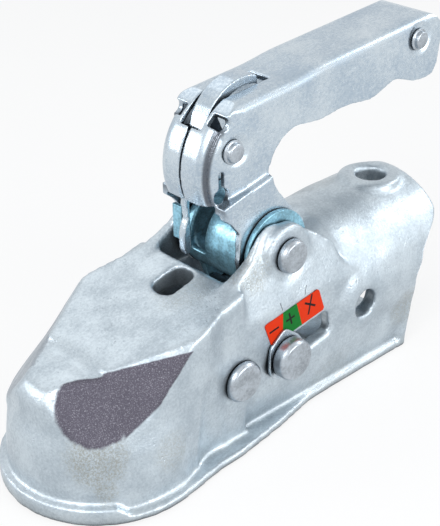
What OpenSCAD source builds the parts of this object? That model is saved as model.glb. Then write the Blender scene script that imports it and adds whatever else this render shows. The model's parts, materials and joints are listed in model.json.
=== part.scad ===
// Trailer coupling head for a 50 mm tow ball, with handle, safety latch and wear indicator.
// Millimetres. Origin at the centre of the tow ball, +X rearward along the drawbar, +Z up.

/* [Ball] */
// Diameter of the tow ball the head closes on
ball_d = 50; // [48:0.5:52]
// Radial play between the ball and its cup
ball_play = 0.3; // [0.1:0.05:0.6]

/* [Body shell] */
// Distance of the dome's middle behind the ball centre
dome_x = 4.5; // [2:0.5:7]
// Radius of the dome at its shoulder
dome_r = 39.5; // [38:0.5:43]
// Radius of the dome at its foot
dome_foot = 43; // [41:0.5:45]
// Outside radius of the thick lip round the front of the rim
lip_r = 47.7; // [46:0.1:50]
// Height of the rim's underside below the ball centre
rim_drop = 17; // [14:0.5:20]
// Height of the thick front lip
lip_h = 9; // [6:0.5:12]
// Height of the thin flange along both sides
flange_h = 4.5; // [3:0.5:6]
// Width the side flange reaches past the foot of the side wall
flange_out = 3.2; // [2:0.2:6]
// Amount the side walls lean in toward their foot
wall_lean = 4; // [2:0.25:4.5]
// Half width of the body at its side walls
wall_y = 35.5; // [33:0.5:38]
// Half width of the ridge where the dome runs into the side walls
ridge_y = 39; // [37:0.5:41]
// Thickness of the side walls
wall_t = 7.5; // [5:0.5:9]
// Half width of the cheeks that hold the main pin
cheek_y = 31; // [29:0.5:33]
// Radius of the cheek lobe round the main pin
lobe_r = 15.5; // [13:0.5:18]
// Radius of the softened nose edge
nose_fillet = 13; // [8:1:18]

/* [Top facet] */
// Rise of the flat top facet toward the rear in degrees
facet_slope = 14; // [10:0.5:18]
// Height of the top facet above the ball centre
facet_h = 48; // [45:0.5:52]
// Distance of the oval side facets from the ball centre
side_facet_h = 42.5; // [41:0.1:46]
// Tilt of the oval side facets from level in degrees
side_facet_tilt = 57; // [50:0.5:62]
// Turn of the oval side facets away from straight ahead in degrees
side_facet_turn = 53; // [45:0.5:58]
// Length of the sight hole in the top facet
sight_len = 19; // [14:0.5:22]
// Width of the sight hole
sight_w = 11; // [8:0.5:13]
// Position of the sight hole along the body
sight_x = 48; // [44:0.5:50]

/* [Window] */
// Distance from the main pin forward to the window's front edge
window_front = 31.4; // [30:0.2:34]
// Distance from the main pin rearward to the window's rear edge
window_rear = 30.6; // [29:0.2:36]
// Width of the opening between the cheeks
window_w = 47; // [42:0.5:50]
// Radius of the spot face round the main pin on both cheeks
spot_r = 12.5; // [11:0.5:14]

/* [Drawbar socket] */
// Diameter of the drawbar tube
drawbar_d = 60; // [50:1:70]
// Height of the drawbar axis above the ball centre
drawbar_z = 28; // [26:0.5:30]
// Wall thickness of the socket
socket_t = 9; // [6:0.5:10]
// Front end of the socket bore
socket_x0 = 128; // [126:1:132]
// Rear end of the socket
socket_x1 = 198.5; // [190:0.5:205]
// Diameter of the two bolt holes
bolt_d = 15; // [12:0.5:17]
// Position of the cross bolt along the body
cross_bolt_x = 139; // [137:0.5:145]
// Height of the cross bolt above the ball centre
cross_bolt_z = 25; // [23:0.5:28]
// Position of the upright bolt along the body
upright_bolt_x = 183; // [178:0.5:185]
// Height of the spot face above the socket's skin
spot_h = 0.8; // [0.5:0.1:2.5]

/* [Pins] */
// Position of the main pin along the body
main_x = 91.4; // [90:0.2:93]
// Height of the main pin above the ball centre
main_z = 68; // [66:0.5:70]
// Diameter of the main pin's shaft
main_d = 12; // [10:0.5:14]
// Diameter of the main pin's head
main_head_d = 16.6; // [15:0.2:19]
// Height the main pin's head stands off the cheek
main_head_h = 4.8; // [3:0.2:7]
// Position of the front guide pin along the body
front_x = 56.4; // [55:0.2:58]
// Height of the front guide pin above the ball centre
front_z = 18.4; // [17:0.2:19]
// Diameter of the front guide pin's shaft
front_d = 12; // [10:0.5:13]
// Diameter of the front guide pin's head
front_head_d = 20; // [17:0.5:22]
// Height the front pin's head stands off the wall
front_head_h = 4.2; // [3:0.2:7]
// Position of the indicator pin along the body
gauge_x = 84.2; // [83:0.2:86]
// Height of the indicator pin above the ball centre
gauge_z = 19.8; // [19:0.2:21]
// Diameter of the indicator pin's shaft
gauge_d = 12.4; // [10:0.2:14]
// Diameter of the indicator pin's head
gauge_head_d = 20.4; // [17:0.2:23]
// Height of the indicator pin's head
gauge_head_h = 7.2; // [5:0.2:8]

/* [Claw and gauge] */
// Rise of the claw's slide toward the rear in degrees
slide_tilt = 8; // [4:0.5:12]
// Travel of the claw when the handle opens
claw_travel = 18.8; // [16:0.2:20]
// Length of the indicator pin's slot past its rest place
slot_run = 25.4; // [22:0.2:27]
// Corner radius of the indicator pin's slot
slot_corner = 3; // [2:0.5:6]
// Spare length of the claw's own slot
claw_spare = 1.6; // [0.6:0.2:3]
// Width of the claw
claw_w = 28; // [24:1:32]
// Radius at which the crank pin sits below the main pin
crank_r = 32; // [28:0.5:34]
// Diameter of the crank pin
crank_d = 8; // [6:0.5:10]
// Play of the crank pin in the claw's fork
crank_play = 1.1; // [0.9:0.1:1.6]
// Thickness of the pointer plate
pointer_t = 1.5; // [1:0.1:2.5]
// Thickness of the wear label
label_t = 0.3; // [0.2:0.05:0.5]
// Length of the wear label along the slide
label_len = 36; // [30:0.5:40]
// Height of the wear label
label_h = 13.2; // [9:0.2:14]

/* [Handle] */
// Thickness of the handle's sheet
sheet = 3; // [2:0.25:4]
// Thickness of the washers between ears and cheeks
washer_t = 2.65; // [1.5:0.05:4]
// Distance the ears are joggled out past the grip
joggle = 3; // [2:0.25:3.5]
// Amount the nose is drawn in on each side
nose_draw = 3; // [1:0.25:4]
// Radius of the folds at both sides of the nose
nose_fold = 8; // [5:0.5:9]
// Radius of the ears round the main pin
ear_r = 21.5; // [19:0.5:23]
// Radius of the nose's curved front
nose_r = 33.8; // [30:0.2:36]
// Height of the nose curve's centre above the main pin
nose_rise = 42; // [38:0.5:46]
// Height of the nose's lower edge above the main pin
nose_low = 29; // [27:0.5:32]
// Height of the grip's top above the main pin at the rear
grip_rise = 82.5; // [76:0.5:88]
// Slope of the grip's top in degrees
grip_slope = 4.2; // [0:0.2:8]
// Distance from the main pin rearward to the grip's end
grip_reach = 120; // [110:0.2:125]
// Radius of the grip's rounded end
grip_end_r = 11; // [10:0.2:14]
// Depth of the grip from its top to its underside at the rear
grip_depth = 29; // [25:0.5:33]
// Depth of the finger scallops
scallop = 0.8; // [0:0.1:2.5]
// Length of one finger scallop
scallop_len = 35; // [28:0.5:40]
// Height of the hollow for the last finger
hook_h = 3.6; // [0:0.2:5]
// Radius of the throat under the grip
throat_r = 19.3; // [15:0.5:24]
// Radius of the folded top edges
fold_r = 5; // [3:0.5:7]
// Width of the trigger slot in the top of the grip
trigger_slot_w = 13; // [10:0.5:16]
// Gap of the seam where the nose flaps meet
seam = 1.1; // [0.4:0.1:1.5]
// Radius of the cam barrel between the ears
barrel_r = 21; // [18:0.5:22]
// Width of each of the cam barrel's side walls
barrel_wall = 4.5; // [3:0.25:6]
// Height of the slot in the barrel's front that the tongue swings into
barrel_slot = 24; // [16:1:28]

/* [Latch] */
// Distance from the main pin forward to the latch rivet
latch_front = 20.7; // [18:0.2:24]
// Height of the latch rivet above the main pin
latch_rise = 52.7; // [48:0.2:56]
// Width of the latch lever
latch_w = 10; // [8:0.5:12]
// Radius of the latch lever's hub
hub_r = 8.5; // [7:0.5:10]
// Radius of the trigger's curved back
trigger_r = 24.5; // [22:0.5:28]
// Thickness of the latch's tongue
tongue_t = 4; // [2.5:0.25:5]
// Depth of the tongue from front to back
tongue_depth = 4.4; // [4:0.2:5]
// Clearance of the tongue behind the window's front edge
tongue_fit = 1; // [0.8:0.1:2]
// Width of the catch plate beside the tongue
catch_w = 6; // [4:0.5:8]
// Thickness of the catch plate
catch_t = 2.2; // [1.6:0.2:2.4]
// Height of the catch plate
catch_h = 20; // [12:1:24]
// Diameter of the latch rivet's head
latch_rivet_d = 9.8; // [8:0.2:11]
// Diameter of the end rivet's head
end_rivet_d = 9.2; // [8:0.2:11]
// Depth of the dimples round the rivets
dimple = 1.3; // [0.5:0.1:1.8]

/* [Fits] */
// Radial running clearance of pins in their holes
run_fit = 0.08; // [0.03:0.01:0.15]
// Side clearance between faces that move past each other
side_fit = 0.35; // [0.3:0.05:0.6]

/* [Hidden] */
$fn = 64;
eps = 0.01;
big = 120;
cup_r = ball_d / 2 + ball_play;
rim_z = -rim_drop;
cavity_y = wall_y - wall_t;
foot_y = wall_y - wall_lean;
window_y = window_w / 2;
window_x0 = main_x - window_front;
window_x1 = main_x + window_rear;
socket_r = drawbar_d / 2;
socket_out_r = socket_r + socket_t;
ear_y = window_y - washer_t - side_fit;
grip_y = ear_y - joggle;
nose_y = grip_y - nose_draw;
barrel_y = grip_y - 0.1;
lug_y = barrel_y - barrel_wall;
nose_x = main_x - 3.7;
nose_z = main_z + nose_rise;
grip_x1 = main_x + grip_reach;
grip_z1 = main_z + grip_rise;
end_x = grip_x1 - 17;
end_z = grip_z1 - 9.8;
latch_x = main_x - latch_front;
latch_z = main_z + latch_rise;
tongue_x = window_x0 + tongue_fit;
catch_x = tongue_x + tongue_depth;
tongue_y0 = latch_w / 2 - 1;
tongue_y1 = tongue_y0 + tongue_t;
hook_x = grip_x1 - 34;
nose_edge = grip_y - 1.5;
groove_y = nose_edge - 2.2;
groove_w = 1.3;
groove_in = 3.7;
tongue_z = main_z - 8.4;
rivet_shaft_cut = 1.5;
head_chamfer = 0.8;
ring_t = 1.6;
ring_wall = 3.2;
head_fit = 0.05;

// Points on an arc, from angle a0 to a1 in n steps.
function arc(x, y, r, a0, a1, n) =
    [for (i = [0:n]) [x + r * cos(a0 + (a1 - a0) * i / n), y + r * sin(a0 + (a1 - a0) * i / n)]];

// The same outline seen from the far side, in reverse order.
function mirrored(pts) = [for (i = [len(pts) - 1:-1:0]) [pts[i][0], -pts[i][1]]];

// An XZ outline given a thickness along Y, from y0 to y1.
module plate_xz(y0, y1) {
    translate([0, y1, 0])
        rotate([90, 0, 0])
            linear_extrude(height = y1 - y0)
                children();
}

// A round bar along Y from y0 to y1.
module bar_y(x, z, r, y0, y1) {
    translate([x, y1, z])
        rotate([90, 0, 0])
            cylinder(r = r, h = y1 - y0);
}

// A pin head on the near side with a chamfered face.
module pin_head(x, z, r, y_seat, h) {
    translate([x, y_seat, z])
        rotate([90, 0, 0])
            union() {
                cylinder(r = r, h = h - head_chamfer);
                translate([0, 0, h - head_chamfer])
                    cylinder(r1 = r, r2 = r - head_chamfer, h = head_chamfer);
            }
}

// A slot along the claw's slide, in the XZ plane, for a bar of radius r.
module slide_slot(x, z, r, from, to) {
    translate([x, z])
        rotate(slide_tilt)
            union() {
                translate([from, 0])
                    circle(r = r);
                translate([to, 0])
                    circle(r = r);
                translate([from, -r])
                    square([to - from, 2 * r]);
            }
}

// Outline of the indicator pin's slot, with a squared rear end.
module gauge_slot() {
    r = gauge_d / 2 + side_fit;
    translate([gauge_x, gauge_z])
        rotate(slide_tilt)
            union() {
                circle(r = r);
                polygon([[0, -r], [slot_run + r - slot_corner, -r],
                         [slot_run + r - 0.3 * slot_corner, -r + 0.3 * slot_corner],
                         [slot_run + r, -r + slot_corner], [slot_run + r, r - slot_corner],
                         [slot_run + r - 0.3 * slot_corner, r - 0.3 * slot_corner],
                         [slot_run + r - slot_corner, r], [0, r]]);
            }
}

// Body shell

// Half of the rim's outline, from the nose round the near or far side to the rear.
rim_half = concat(
    arc(dome_x + 0.5, 0, lip_r, 180, 82, 18),
    [[35, foot_y + 13.2], [50, foot_y + 12.5], [78, foot_y + 8.8], [102, foot_y + 4],
     [124, foot_y + flange_out], [168, foot_y + flange_out], [174, foot_y + flange_out - 2],
     [177, foot_y - 1.5]]);

// Half of the body's outline above the rim.
wall_half = concat(
    arc(dome_x, 0, dome_r, 180, 84, 18),
    [[27, ridge_y + 0.4], [34, ridge_y], [40, wall_y + 1.7], [46, wall_y], [110, wall_y],
     [150, wall_y]]);

module outline_prism(half, z0, z1) {
    translate([0, 0, z0])
        linear_extrude(height = z1 - z0)
            polygon(concat(half, mirrored(half)));
}

// Open space under the socket, between the side walls.
module underside() {
    translate([16, -cavity_y, rim_z - 1])
        cube([180, 2 * cavity_y, rim_drop + 1 + drawbar_z]);
}

// Everything above the flat top facet.
module above_facet() {
    translate([0, 0, facet_h])
        rotate([0, -facet_slope, 0])
            translate([-big, -big, 0])
                cube([2 * big, 2 * big, big]);
}

// Everything outside one oval side facet, on the side given by s.
module outside_side_facet(s) {
    rotate([0, 0, 180 + s * side_facet_turn])
        rotate([0, side_facet_tilt, 0])
            translate([-big, -big, side_facet_h])
                cube([2 * big, 2 * big, big]);
}

// The dome turned with a softened nose edge.
module dome_turned() {
    top = 43.5;
    translate([dome_x, 0, 0])
        rotate_extrude($fn = 96)
            polygon(concat(
                [[0, rim_z], [dome_foot, rim_z], [dome_foot, 0]],
                arc(dome_r - nose_fillet, top - nose_fillet, nose_fillet, 0, 90, 8),
                [[0, top]]));
}

module dome() {
    difference() {
        union() {
            dome_turned();
            intersection() {
                outline_prism(wall_half, rim_z, window_z1());
                translate([-8, -big, rim_z - 1])
                    cube([window_x0 + 8, 2 * big, big]);
            }
        }
        above_facet();
        outside_side_facet(1);
        outside_side_facet(-1);
    }
}

function facet_at(x) = facet_h + x * tan(facet_slope);
function window_z1() = facet_at(window_x0) + 2;

// Side walls with their cheeks, tapered in toward the main pin.
module cheeks() {
    taper_z = main_z - 1.5 * lobe_r;
    taper = atan((wall_y - cheek_y) / (1.1 * lobe_r));
    difference() {
        plate_xz(-wall_y, wall_y)
            polygon([[window_x0 - 14, rim_z], [window_x0 - 14, facet_at(window_x0 - 14)],
                     [window_x0 - 6, facet_at(window_x0 - 6) + 1],
                     [main_x - 1.42 * lobe_r, main_z + 0.2 * lobe_r],
                     [main_x - 0.86 * lobe_r, main_z + 0.82 * lobe_r],
                     [main_x - 0.55 * lobe_r, main_z + lobe_r],
                     [main_x - 0.24 * lobe_r, main_z + 0.98 * lobe_r],
                     [main_x + 0.3 * lobe_r, main_z + 0.78 * lobe_r],
                     [main_x + 0.85 * lobe_r, main_z + 0.48 * lobe_r],
                     [main_x + 1.41 * lobe_r, main_z + 0.14 * lobe_r],
                     [main_x + 1.99 * lobe_r, main_z - 0.36 * lobe_r],
                     [main_x + 2.3 * lobe_r, main_z - 1.03 * lobe_r],
                     [main_x + 2.8 * lobe_r, main_z - 1.5 * lobe_r],
                     [main_x + 3.78 * lobe_r, main_z - 1.87 * lobe_r],
                     [main_x + 3.78 * lobe_r, rim_z]]);
        for (s = [1, -1])
            scale([1, s, 1])
                translate([0, wall_y, taper_z])
                    rotate([taper, 0, 0])
                        translate([0, 0, -1])
                            cube([200, big, big]);
        // between the cheeks the top facet runs on to the window
        intersection() {
            above_facet();
            translate([0, -window_y, 0])
                cube([window_x0 + 1, window_w, big]);
        }
    }
    bar_y(main_x, main_z, 0.93 * lobe_r, -cheek_y, cheek_y);
}

module socket() {
    translate([108, 0, drawbar_z])
        rotate([0, 90, 0])
            union() {
                cylinder(r1 = socket_out_r - 8, r2 = socket_out_r, h = 22);
                translate([0, 0, 22])
                    cylinder(r = socket_out_r, h = socket_x1 - 130);
            }
    translate([upright_bolt_x - 1.5, 0, drawbar_z + socket_r])
        cylinder(r = 15.5, h = socket_t + spot_h);
    bar_y(cross_bolt_x, cross_bolt_z, 13.5, -wall_y - 1.6, wall_y + 1.6);
}

// Walls that carry the socket down to the flange, with the upturned rear flange.
module skirt() {
    plate_xz(-wall_y + 1, wall_y - 1)
        polygon([[118, rim_z], [173, rim_z], [184, 24], [184, 30], [118, 50]]);
}

// Upturned flange along the rear of the skirt.
module rear_flange() {
    plate_xz(-foot_y - flange_out, foot_y + flange_out)
        polygon([[170, rim_z], [177, rim_z], [186.5, 22], [184, 28], [181, 24]]);
}

// Space outside the leaning foot of one side wall, on the side given by s.
module outside_foot(s) {
    lean_z = 6;
    translate([48, 0, 0])
        rotate([90, 0, 90])
            linear_extrude(height = 160)
                polygon([[s * foot_y, rim_z - 1], [s * foot_y, rim_z + flange_h],
                         [s * (wall_y + 0.2), lean_z], [s * big, lean_z],
                         [s * big, rim_z - 1]]);
}

// Rim lip at the front and thin flange along the sides.
module rim() {
    intersection() {
        outline_prism(rim_half, rim_z, rim_z + lip_h);
        plate_xz(-big, big)
            polygon([[-60, rim_z - 1], [-60, rim_z + lip_h], [-20, rim_z + lip_h],
                     [-15.5, rim_z + flange_h], [200, rim_z + flange_h], [200, rim_z - 1]]);
    }
}

// Space inside for the ball, the claw and the crank.
module cavity() {
    sphere(r = cup_r, $fn = 64);
    translate([0, 0, rim_z - 1])
        cylinder(r1 = cup_r + 7, r2 = cup_r + 0.4, h = rim_drop + 1);
    translate([16, -cavity_y, rim_z - 1])
        cube([socket_x0 - 18, 2 * cavity_y, main_z - rim_z - 17]);
    translate([window_x0, -window_y, 40])
        cube([window_x1 - window_x0, window_w, big]);
    for (s = [1, -1])
        scale([1, s, 1])
            bar_y(main_x, main_z, spot_r, cheek_y, big);
    translate([socket_x0 - 4, 0, drawbar_z])
        rotate([0, 90, 0])
            cylinder(r = socket_r, h = big);
}

// Holes for bolts, pins, the claw's slide and the sight hole.
module holes() {
    translate([upright_bolt_x, 0, drawbar_z])
        cylinder(r = bolt_d / 2, h = big);
    bar_y(cross_bolt_x, cross_bolt_z, bolt_d / 2, -big, big);
    bar_y(main_x, main_z, main_d / 2 + run_fit, -big, big);
    bar_y(front_x, front_z, front_d / 2 + run_fit, -big, big);
    plate_xz(-big, big)
        gauge_slot();
    translate([sight_x, 0, facet_at(sight_x)])
        rotate([0, -facet_slope, 0])
            translate([0, 0, -25])
                linear_extrude(height = 40)
                    union() {
                        translate([-(sight_len - sight_w) / 2, 0])
                            circle(d = sight_w);
                        translate([(sight_len - sight_w) / 2, 0])
                            circle(d = sight_w);
                        translate([-(sight_len - sight_w) / 2, -sight_w / 2])
                            square([sight_len - sight_w, sight_w]);
                    }
}

module body_shell() {
    color([0.72, 0.75, 0.79])
        difference() {
            union() {
                difference() {
                    union() {
                        difference() {
                            union() {
                                cheeks();
                                skirt();
                            }
                            outside_foot(1);
                            outside_foot(-1);
                        }
                        dome();
                        rim();
                        rear_flange();
                    }
                    underside();
                }
                socket();
            }
            // the lower rear of the socket is cut back along the rear flange
            plate_xz(-big, big)
                polygon([[socket_x1 + 10, 31], [socket_x1 - 0.5, 31], [186.5, 22], [177, rim_z],
                         [176, rim_z - 2], [socket_x1 + 10, rim_z - 2]]);
            // hollow between the dome and the side wall
            for (s = [1, -1])
                translate([37, s * (wall_y + 20.5), rim_z + flange_h])
                    cylinder(r1 = 21, r2 = 16.6, h = 62);
            cavity();
            holes();
        }
}

// Label and pins in the body

module wear_label() {
    // outline in the slide's own tilted axes, measured from the indicator pin
    front = -7.6;
    lean = -2.4;
    low = gauge_d / 2 + 3.3;
    color([0.85, 0.16, 0.06])
        plate_xz(-wall_y - label_t, -wall_y)
            translate([gauge_x, gauge_z])
                rotate(slide_tilt)
                    polygon([[front + 0.8, low], [front + label_len - 1, low],
                             [front + label_len - 0.2, low + 1],
                             [front + label_len + lean + 0.1, low + label_h - 1],
                             [front + label_len + lean - 0.9, low + label_h],
                             [front + lean + 0.9, low + label_h],
                             [front + lean + 0.1, low + label_h - 1], [front, low + 0.8]]);
}

module main_pin() {
    color([0.74, 0.76, 0.78])
        union() {
            pin_head(main_x, main_z, main_head_d / 2, -cheek_y, main_head_h);
            bar_y(main_x, main_z, main_d / 2, -cheek_y - 1, cheek_y + 4.5);
        }
}

module pin_ring(x, z, d, y_seat) {
    color([0.45, 0.46, 0.48])
        difference() {
            bar_y(x, z, d / 2 + ring_wall, y_seat, y_seat + ring_t);
            bar_y(x, z, d / 2 + head_fit, y_seat - 1, y_seat + ring_t + 1);
            translate([x - 2, y_seat - 1, z - d / 2 - ring_wall - 1])
                cube([4, ring_t + 2, ring_wall + 2]);
        }
}

module main_pin_ring() {
    pin_ring(main_x, main_z, main_d, cheek_y);
}

module front_pin() {
    color([0.70, 0.73, 0.76])
        union() {
            pin_head(front_x, front_z, front_head_d / 2, -wall_y, front_head_h);
            bar_y(front_x, front_z, front_d / 2, -wall_y - 1, wall_y + 4.5);
        }
}

module front_pin_ring() {
    pin_ring(front_x, front_z, front_d, wall_y);
}

// Handle

// Height of the grip's top line at a point along the body.
function grip_top(x) = grip_z1 - (grip_x1 - grip_end_r - x) * tan(grip_slope);

// Height of the scalloped underside, with a deeper hook for the last finger.
function grip_under(x) =
    grip_z1 - grip_depth - 0.8 + scallop * cos(360 * (x - hook_x) / scallop_len)
    + max(0, hook_h * (1 - abs(x - hook_x) / 16));

// Side outline of the grip and nose, inset by t for the hollow.
function handle_outline(t) = concat(
    arc(nose_x, nose_z, nose_r - t, 202.6, 112, 14),
    [[nose_x + 6, grip_top(nose_x + 6) - t]],
    arc(grip_x1 - grip_end_r, grip_z1 - grip_end_r, grip_end_r - t, 90, -12, 8));

handle_side = concat(
    handle_outline(0),
    [[grip_x1 - 2.4, grip_z1 - 25], [grip_x1 - 5.6, grip_z1 - 29.8],
     [grip_x1 - 10.6, grip_z1 - 30.8]],
    [for (x = [grip_x1 - 15.6:-4:main_x + 22]) [x, grip_under(x)]],
    arc(main_x + throat_r + 0.8, grip_z1 - grip_depth - throat_r, throat_r, 94, 172, 8),
    [[main_x - 0.9, main_z + nose_low + 1.5]]);

handle_hollow = concat(
    [[nose_x - nose_r + sheet + 3, main_z + 20]],
    handle_outline(sheet),
    [[grip_x1 - sheet - 3, grip_z1 - 28], [grip_x1 - 9, grip_z1 - 45],
     [main_x + 20, grip_z1 - 45], [main_x, main_z + 12], [main_x - 20, main_z + 12]]);

// Half of the handle's outline seen from above, drawn in at the nose.
nose_plan = [[nose_x - 38, -nose_y + 3], [nose_x - nose_r, -nose_y],
    [nose_x + nose_r - 20, -grip_y - nose_draw], [nose_x + nose_r - 20, -grip_y - 6],
    [grip_x1 + 20, -grip_y - 6]];

// A tapered dimple in the near side of the grip.
module dimple_cut(x, z, d) {
    translate([x, -grip_y - eps, z])
        rotate([-90, 0, 0])
            cylinder(r1 = d / 2 + 4.2, r2 = d / 2 + 1.4, h = dimple + eps);
}

// Everything the nose may fill: its front is folded round at both sides.
module nose_folds() {
    translate([nose_x, 0, nose_z])
        rotate([90, 0, 0])
            rotate_extrude($fn = 96)
                polygon(concat([[0, -nose_edge - 12], [nose_r - nose_fold, -nose_edge - 12]],
                    arc(nose_r - nose_fold, nose_fold - nose_edge, nose_fold, -90, 0, 6),
                    arc(nose_r - nose_fold, nose_edge - nose_fold, nose_fold, 0, 90, 6),
                    [[nose_r - nose_fold, nose_edge + 12], [0, nose_edge + 12]]));
    translate([latch_x - 4.7, -big, 0])
        cube([2 * big, 2 * big, 2 * big]);
    translate([0, -big, 0])
        cube([2 * big, 2 * big, nose_z - 14.5]);
}

module handle_grip() {
    difference() {
        intersection() {
            nose_folds();
            plate_xz(-grip_y - 5, grip_y + 5)
                polygon(handle_side);
            // the nose is drawn in a little toward the front
            linear_extrude(height = 200)
                polygon(concat(nose_plan, mirrored(nose_plan)));
            // flat top and sides with folded edges between them
            translate([grip_x1 - grip_end_r, 0, grip_z1])
                rotate([0, -grip_slope, 0])
                    rotate([90, 0, 90])
                        translate([0, 0, -180])
                            linear_extrude(height = 220)
                                polygon(concat([[-grip_y, -160]],
                                    arc(fold_r - grip_y, -fold_r, fold_r, 180, 90, 8),
                                    arc(grip_y - fold_r, -fold_r, fold_r, 90, 0, 8),
                                    [[grip_y, -160]]));
        }
        // hollow between the folded sides
        intersection() {
            plate_xz(-grip_y, grip_y)
                polygon(handle_hollow);
            linear_extrude(height = 200)
                polygon([[nose_x - 48, -nose_y + sheet + 1], [nose_x - nose_r, -nose_y + sheet],
                         [nose_x - 10, -grip_y + sheet], [grip_x1 + 20, -grip_y + sheet],
                         [grip_x1 + 20, grip_y - sheet], [nose_x - 10, grip_y - sheet],
                         [nose_x - nose_r, nose_y - sheet], [nose_x - 48, nose_y - sheet - 1]]);
        }
        // trigger slot in the top
        translate([latch_x - 9.7, -trigger_slot_w / 2, latch_z + 7.3])
            cube([42, trigger_slot_w, 30]);
        // seam of the two nose flaps
        translate([nose_x - nose_r - 4, -seam / 2, main_z + 22])
            cube([14, seam, 50]);
        // grooves along the folds at both sides of the nose
        intersection() {
            translate([nose_x, 0, nose_z])
                rotate([90, 0, 0])
                    rotate_extrude($fn = 96)
                        for (s = [1, -1])
                            translate([nose_r - groove_in, s * groove_y - groove_w / 2])
                                square([8, groove_w]);
            translate([0, -big, nose_z - 12])
                cube([latch_x - 4, 2 * big, big]);
        }
        // relief holes at the ends of the folds
        for (s = [1, -1])
            bar_y(latch_x - 4.7, latch_z + 13.8, 3.2, s > 0 ? grip_y - 9.5 : -grip_y - 1,
                s > 0 ? grip_y + 1 : -grip_y + 9.5);
        // open rear of the top fold
        translate([grip_x1 - 5, -grip_y + 7, grip_z1 - 22])
            cube([10, 2 * grip_y - 14, 16]);
        // keyhole in both sides
        bar_y(latch_x - 6.1, latch_z - 19.7, 3.9, -big, big);
        translate([latch_x - 7.3, -big, latch_z - 19.7])
            cube([2.8, 2 * big, 11.5]);
        for (s = [1, -1])
            scale([1, s, 1]) {
                dimple_cut(latch_x, latch_z, latch_rivet_d);
                dimple_cut(end_x, end_z, end_rivet_d);
            }
        bar_y(latch_x, latch_z, latch_rivet_d / 2 - rivet_shaft_cut, -big, big);
        bar_y(end_x, end_z, end_rivet_d / 2 - rivet_shaft_cut, -big, big);
    }
}

// One ear of the handle, on the side given by s.
module handle_ear(s) {
    y0 = s > 0 ? grip_y : -ear_y;
    difference() {
        union() {
            bar_y(main_x, main_z, ear_r, y0, y0 + joggle);
            plate_xz(y0, y0 + joggle)
                polygon([[main_x - 30.2, main_z + nose_low - 5],
                         [main_x - 28.9, main_z + nose_low - 0.5],
                         [main_x - 17.4, main_z + nose_low + 2],
                         [main_x - 2.8, main_z + nose_low + 5],
                         [main_x + 1.2, main_z + nose_low + 7],
                         [main_x + 0.4 * ear_r, main_z + 1.12 * ear_r],
                         [main_x + 0.77 * ear_r, main_z + 0.65 * ear_r],
                         [main_x + 0.9 * ear_r, main_z + 0.1 * ear_r],
                         [main_x, main_z - 0.84 * ear_r],
                         [main_x - 0.98 * ear_r, main_z + 0.1 * ear_r],
                         [main_x - 0.97 * ear_r, main_z + 0.65 * ear_r],
                         [main_x - 1.18 * ear_r, main_z + 0.93 * ear_r]]);
        }
        bar_y(main_x, main_z, main_d / 2 + run_fit, -big, big);
    }
}

module handle() {
    color([0.70, 0.76, 0.82])
        union() {
            handle_grip();
            for (s = [1, -1]) {
                handle_ear(s);
                // joggle: the sheet steps out to the ear
                plate_xz(s > 0 ? grip_y - sheet : -ear_y, s > 0 ? ear_y : -grip_y + sheet)
                    polygon([[main_x - 29.9, main_z + nose_low - 3.5],
                             [main_x - 30.1, main_z + nose_low],
                             [main_x - 17.4, main_z + nose_low + 3],
                             [main_x - 2.6, main_z + nose_low + 6.2],
                             [main_x + 1.2, main_z + nose_low + 7],
                             [main_x + 0.1, main_z + nose_low + 3.2],
                             [main_x - 3.4, main_z + nose_low + 1],
                             [main_x - 17.4, main_z + nose_low - 1]]);
            }
        }
}

module side_washers() {
    for (s = [1, -1])
        color([0.30, 0.55, 0.60])
            difference() {
                bar_y(main_x, main_z, ear_r - 2.5, s > 0 ? ear_y + side_fit : -window_y,
                    s > 0 ? window_y : -ear_y - side_fit);
                bar_y(main_x, main_z, main_d / 2 + run_fit, -big, big);
            }
}

// Folded sheet drum between the ears, with two lugs that carry the crank pin.
module cam_barrel() {
    lug_r = crank_d / 2 + 3.5;
    color([0.62, 0.72, 0.78])
        difference() {
            union() {
                difference() {
                    bar_y(main_x, main_z, barrel_r, -barrel_y, barrel_y);
                    bar_y(main_x, main_z, barrel_r - sheet, -lug_y, lug_y);
                    // the drum is open at the rear and below
                    plate_xz(-lug_y, lug_y)
                        polygon([[main_x - 0.8 * barrel_r, main_z - 2 * barrel_r],
                                 [main_x - 0.8 * barrel_r, main_z - 0.67 * barrel_r],
                                 [main_x, main_z], [main_x + 0.3 * barrel_r, main_z + 2 * barrel_r],
                                 [main_x + 3 * barrel_r, main_z + 2 * barrel_r],
                                 [main_x + 3 * barrel_r, main_z - 2 * barrel_r]]);
                }
                for (s = [1, -1])
                    plate_xz(s > 0 ? lug_y : -barrel_y, s > 0 ? barrel_y : -lug_y)
                        union() {
                            translate([main_x, main_z - crank_r])
                                circle(r = lug_r);
                            polygon([[main_x - 14, main_z - 12],
                                     [main_x - lug_r + 0.2, main_z - crank_r + 1.5],
                                     [main_x + lug_r - 0.2, main_z - crank_r + 1.5],
                                     [main_x + 14, main_z - 12]]);
                        }
            }
            bar_y(main_x, main_z, main_d / 2 + run_fit, -big, big);
            bar_y(main_x, main_z - crank_r, crank_d / 2 + 0.03, -big, big);
            // seam of the folded drum, with the slot that the tongue swings into
            translate([main_x - barrel_r - 1, tongue_y0 - seam, main_z - 16])
                cube([barrel_r - 4, seam, 36]);
            translate([main_x - barrel_r - 1, tongue_y0 - 0.2, main_z - 5])
                cube([barrel_r - 4, lug_y - tongue_y0 - 0.3, barrel_slot]);
        }
}

module crank_pin() {
    color([0.60, 0.62, 0.65])
        bar_y(main_x, main_z - crank_r, crank_d / 2, -barrel_y - 0.05, barrel_y + 0.05);
}

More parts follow.
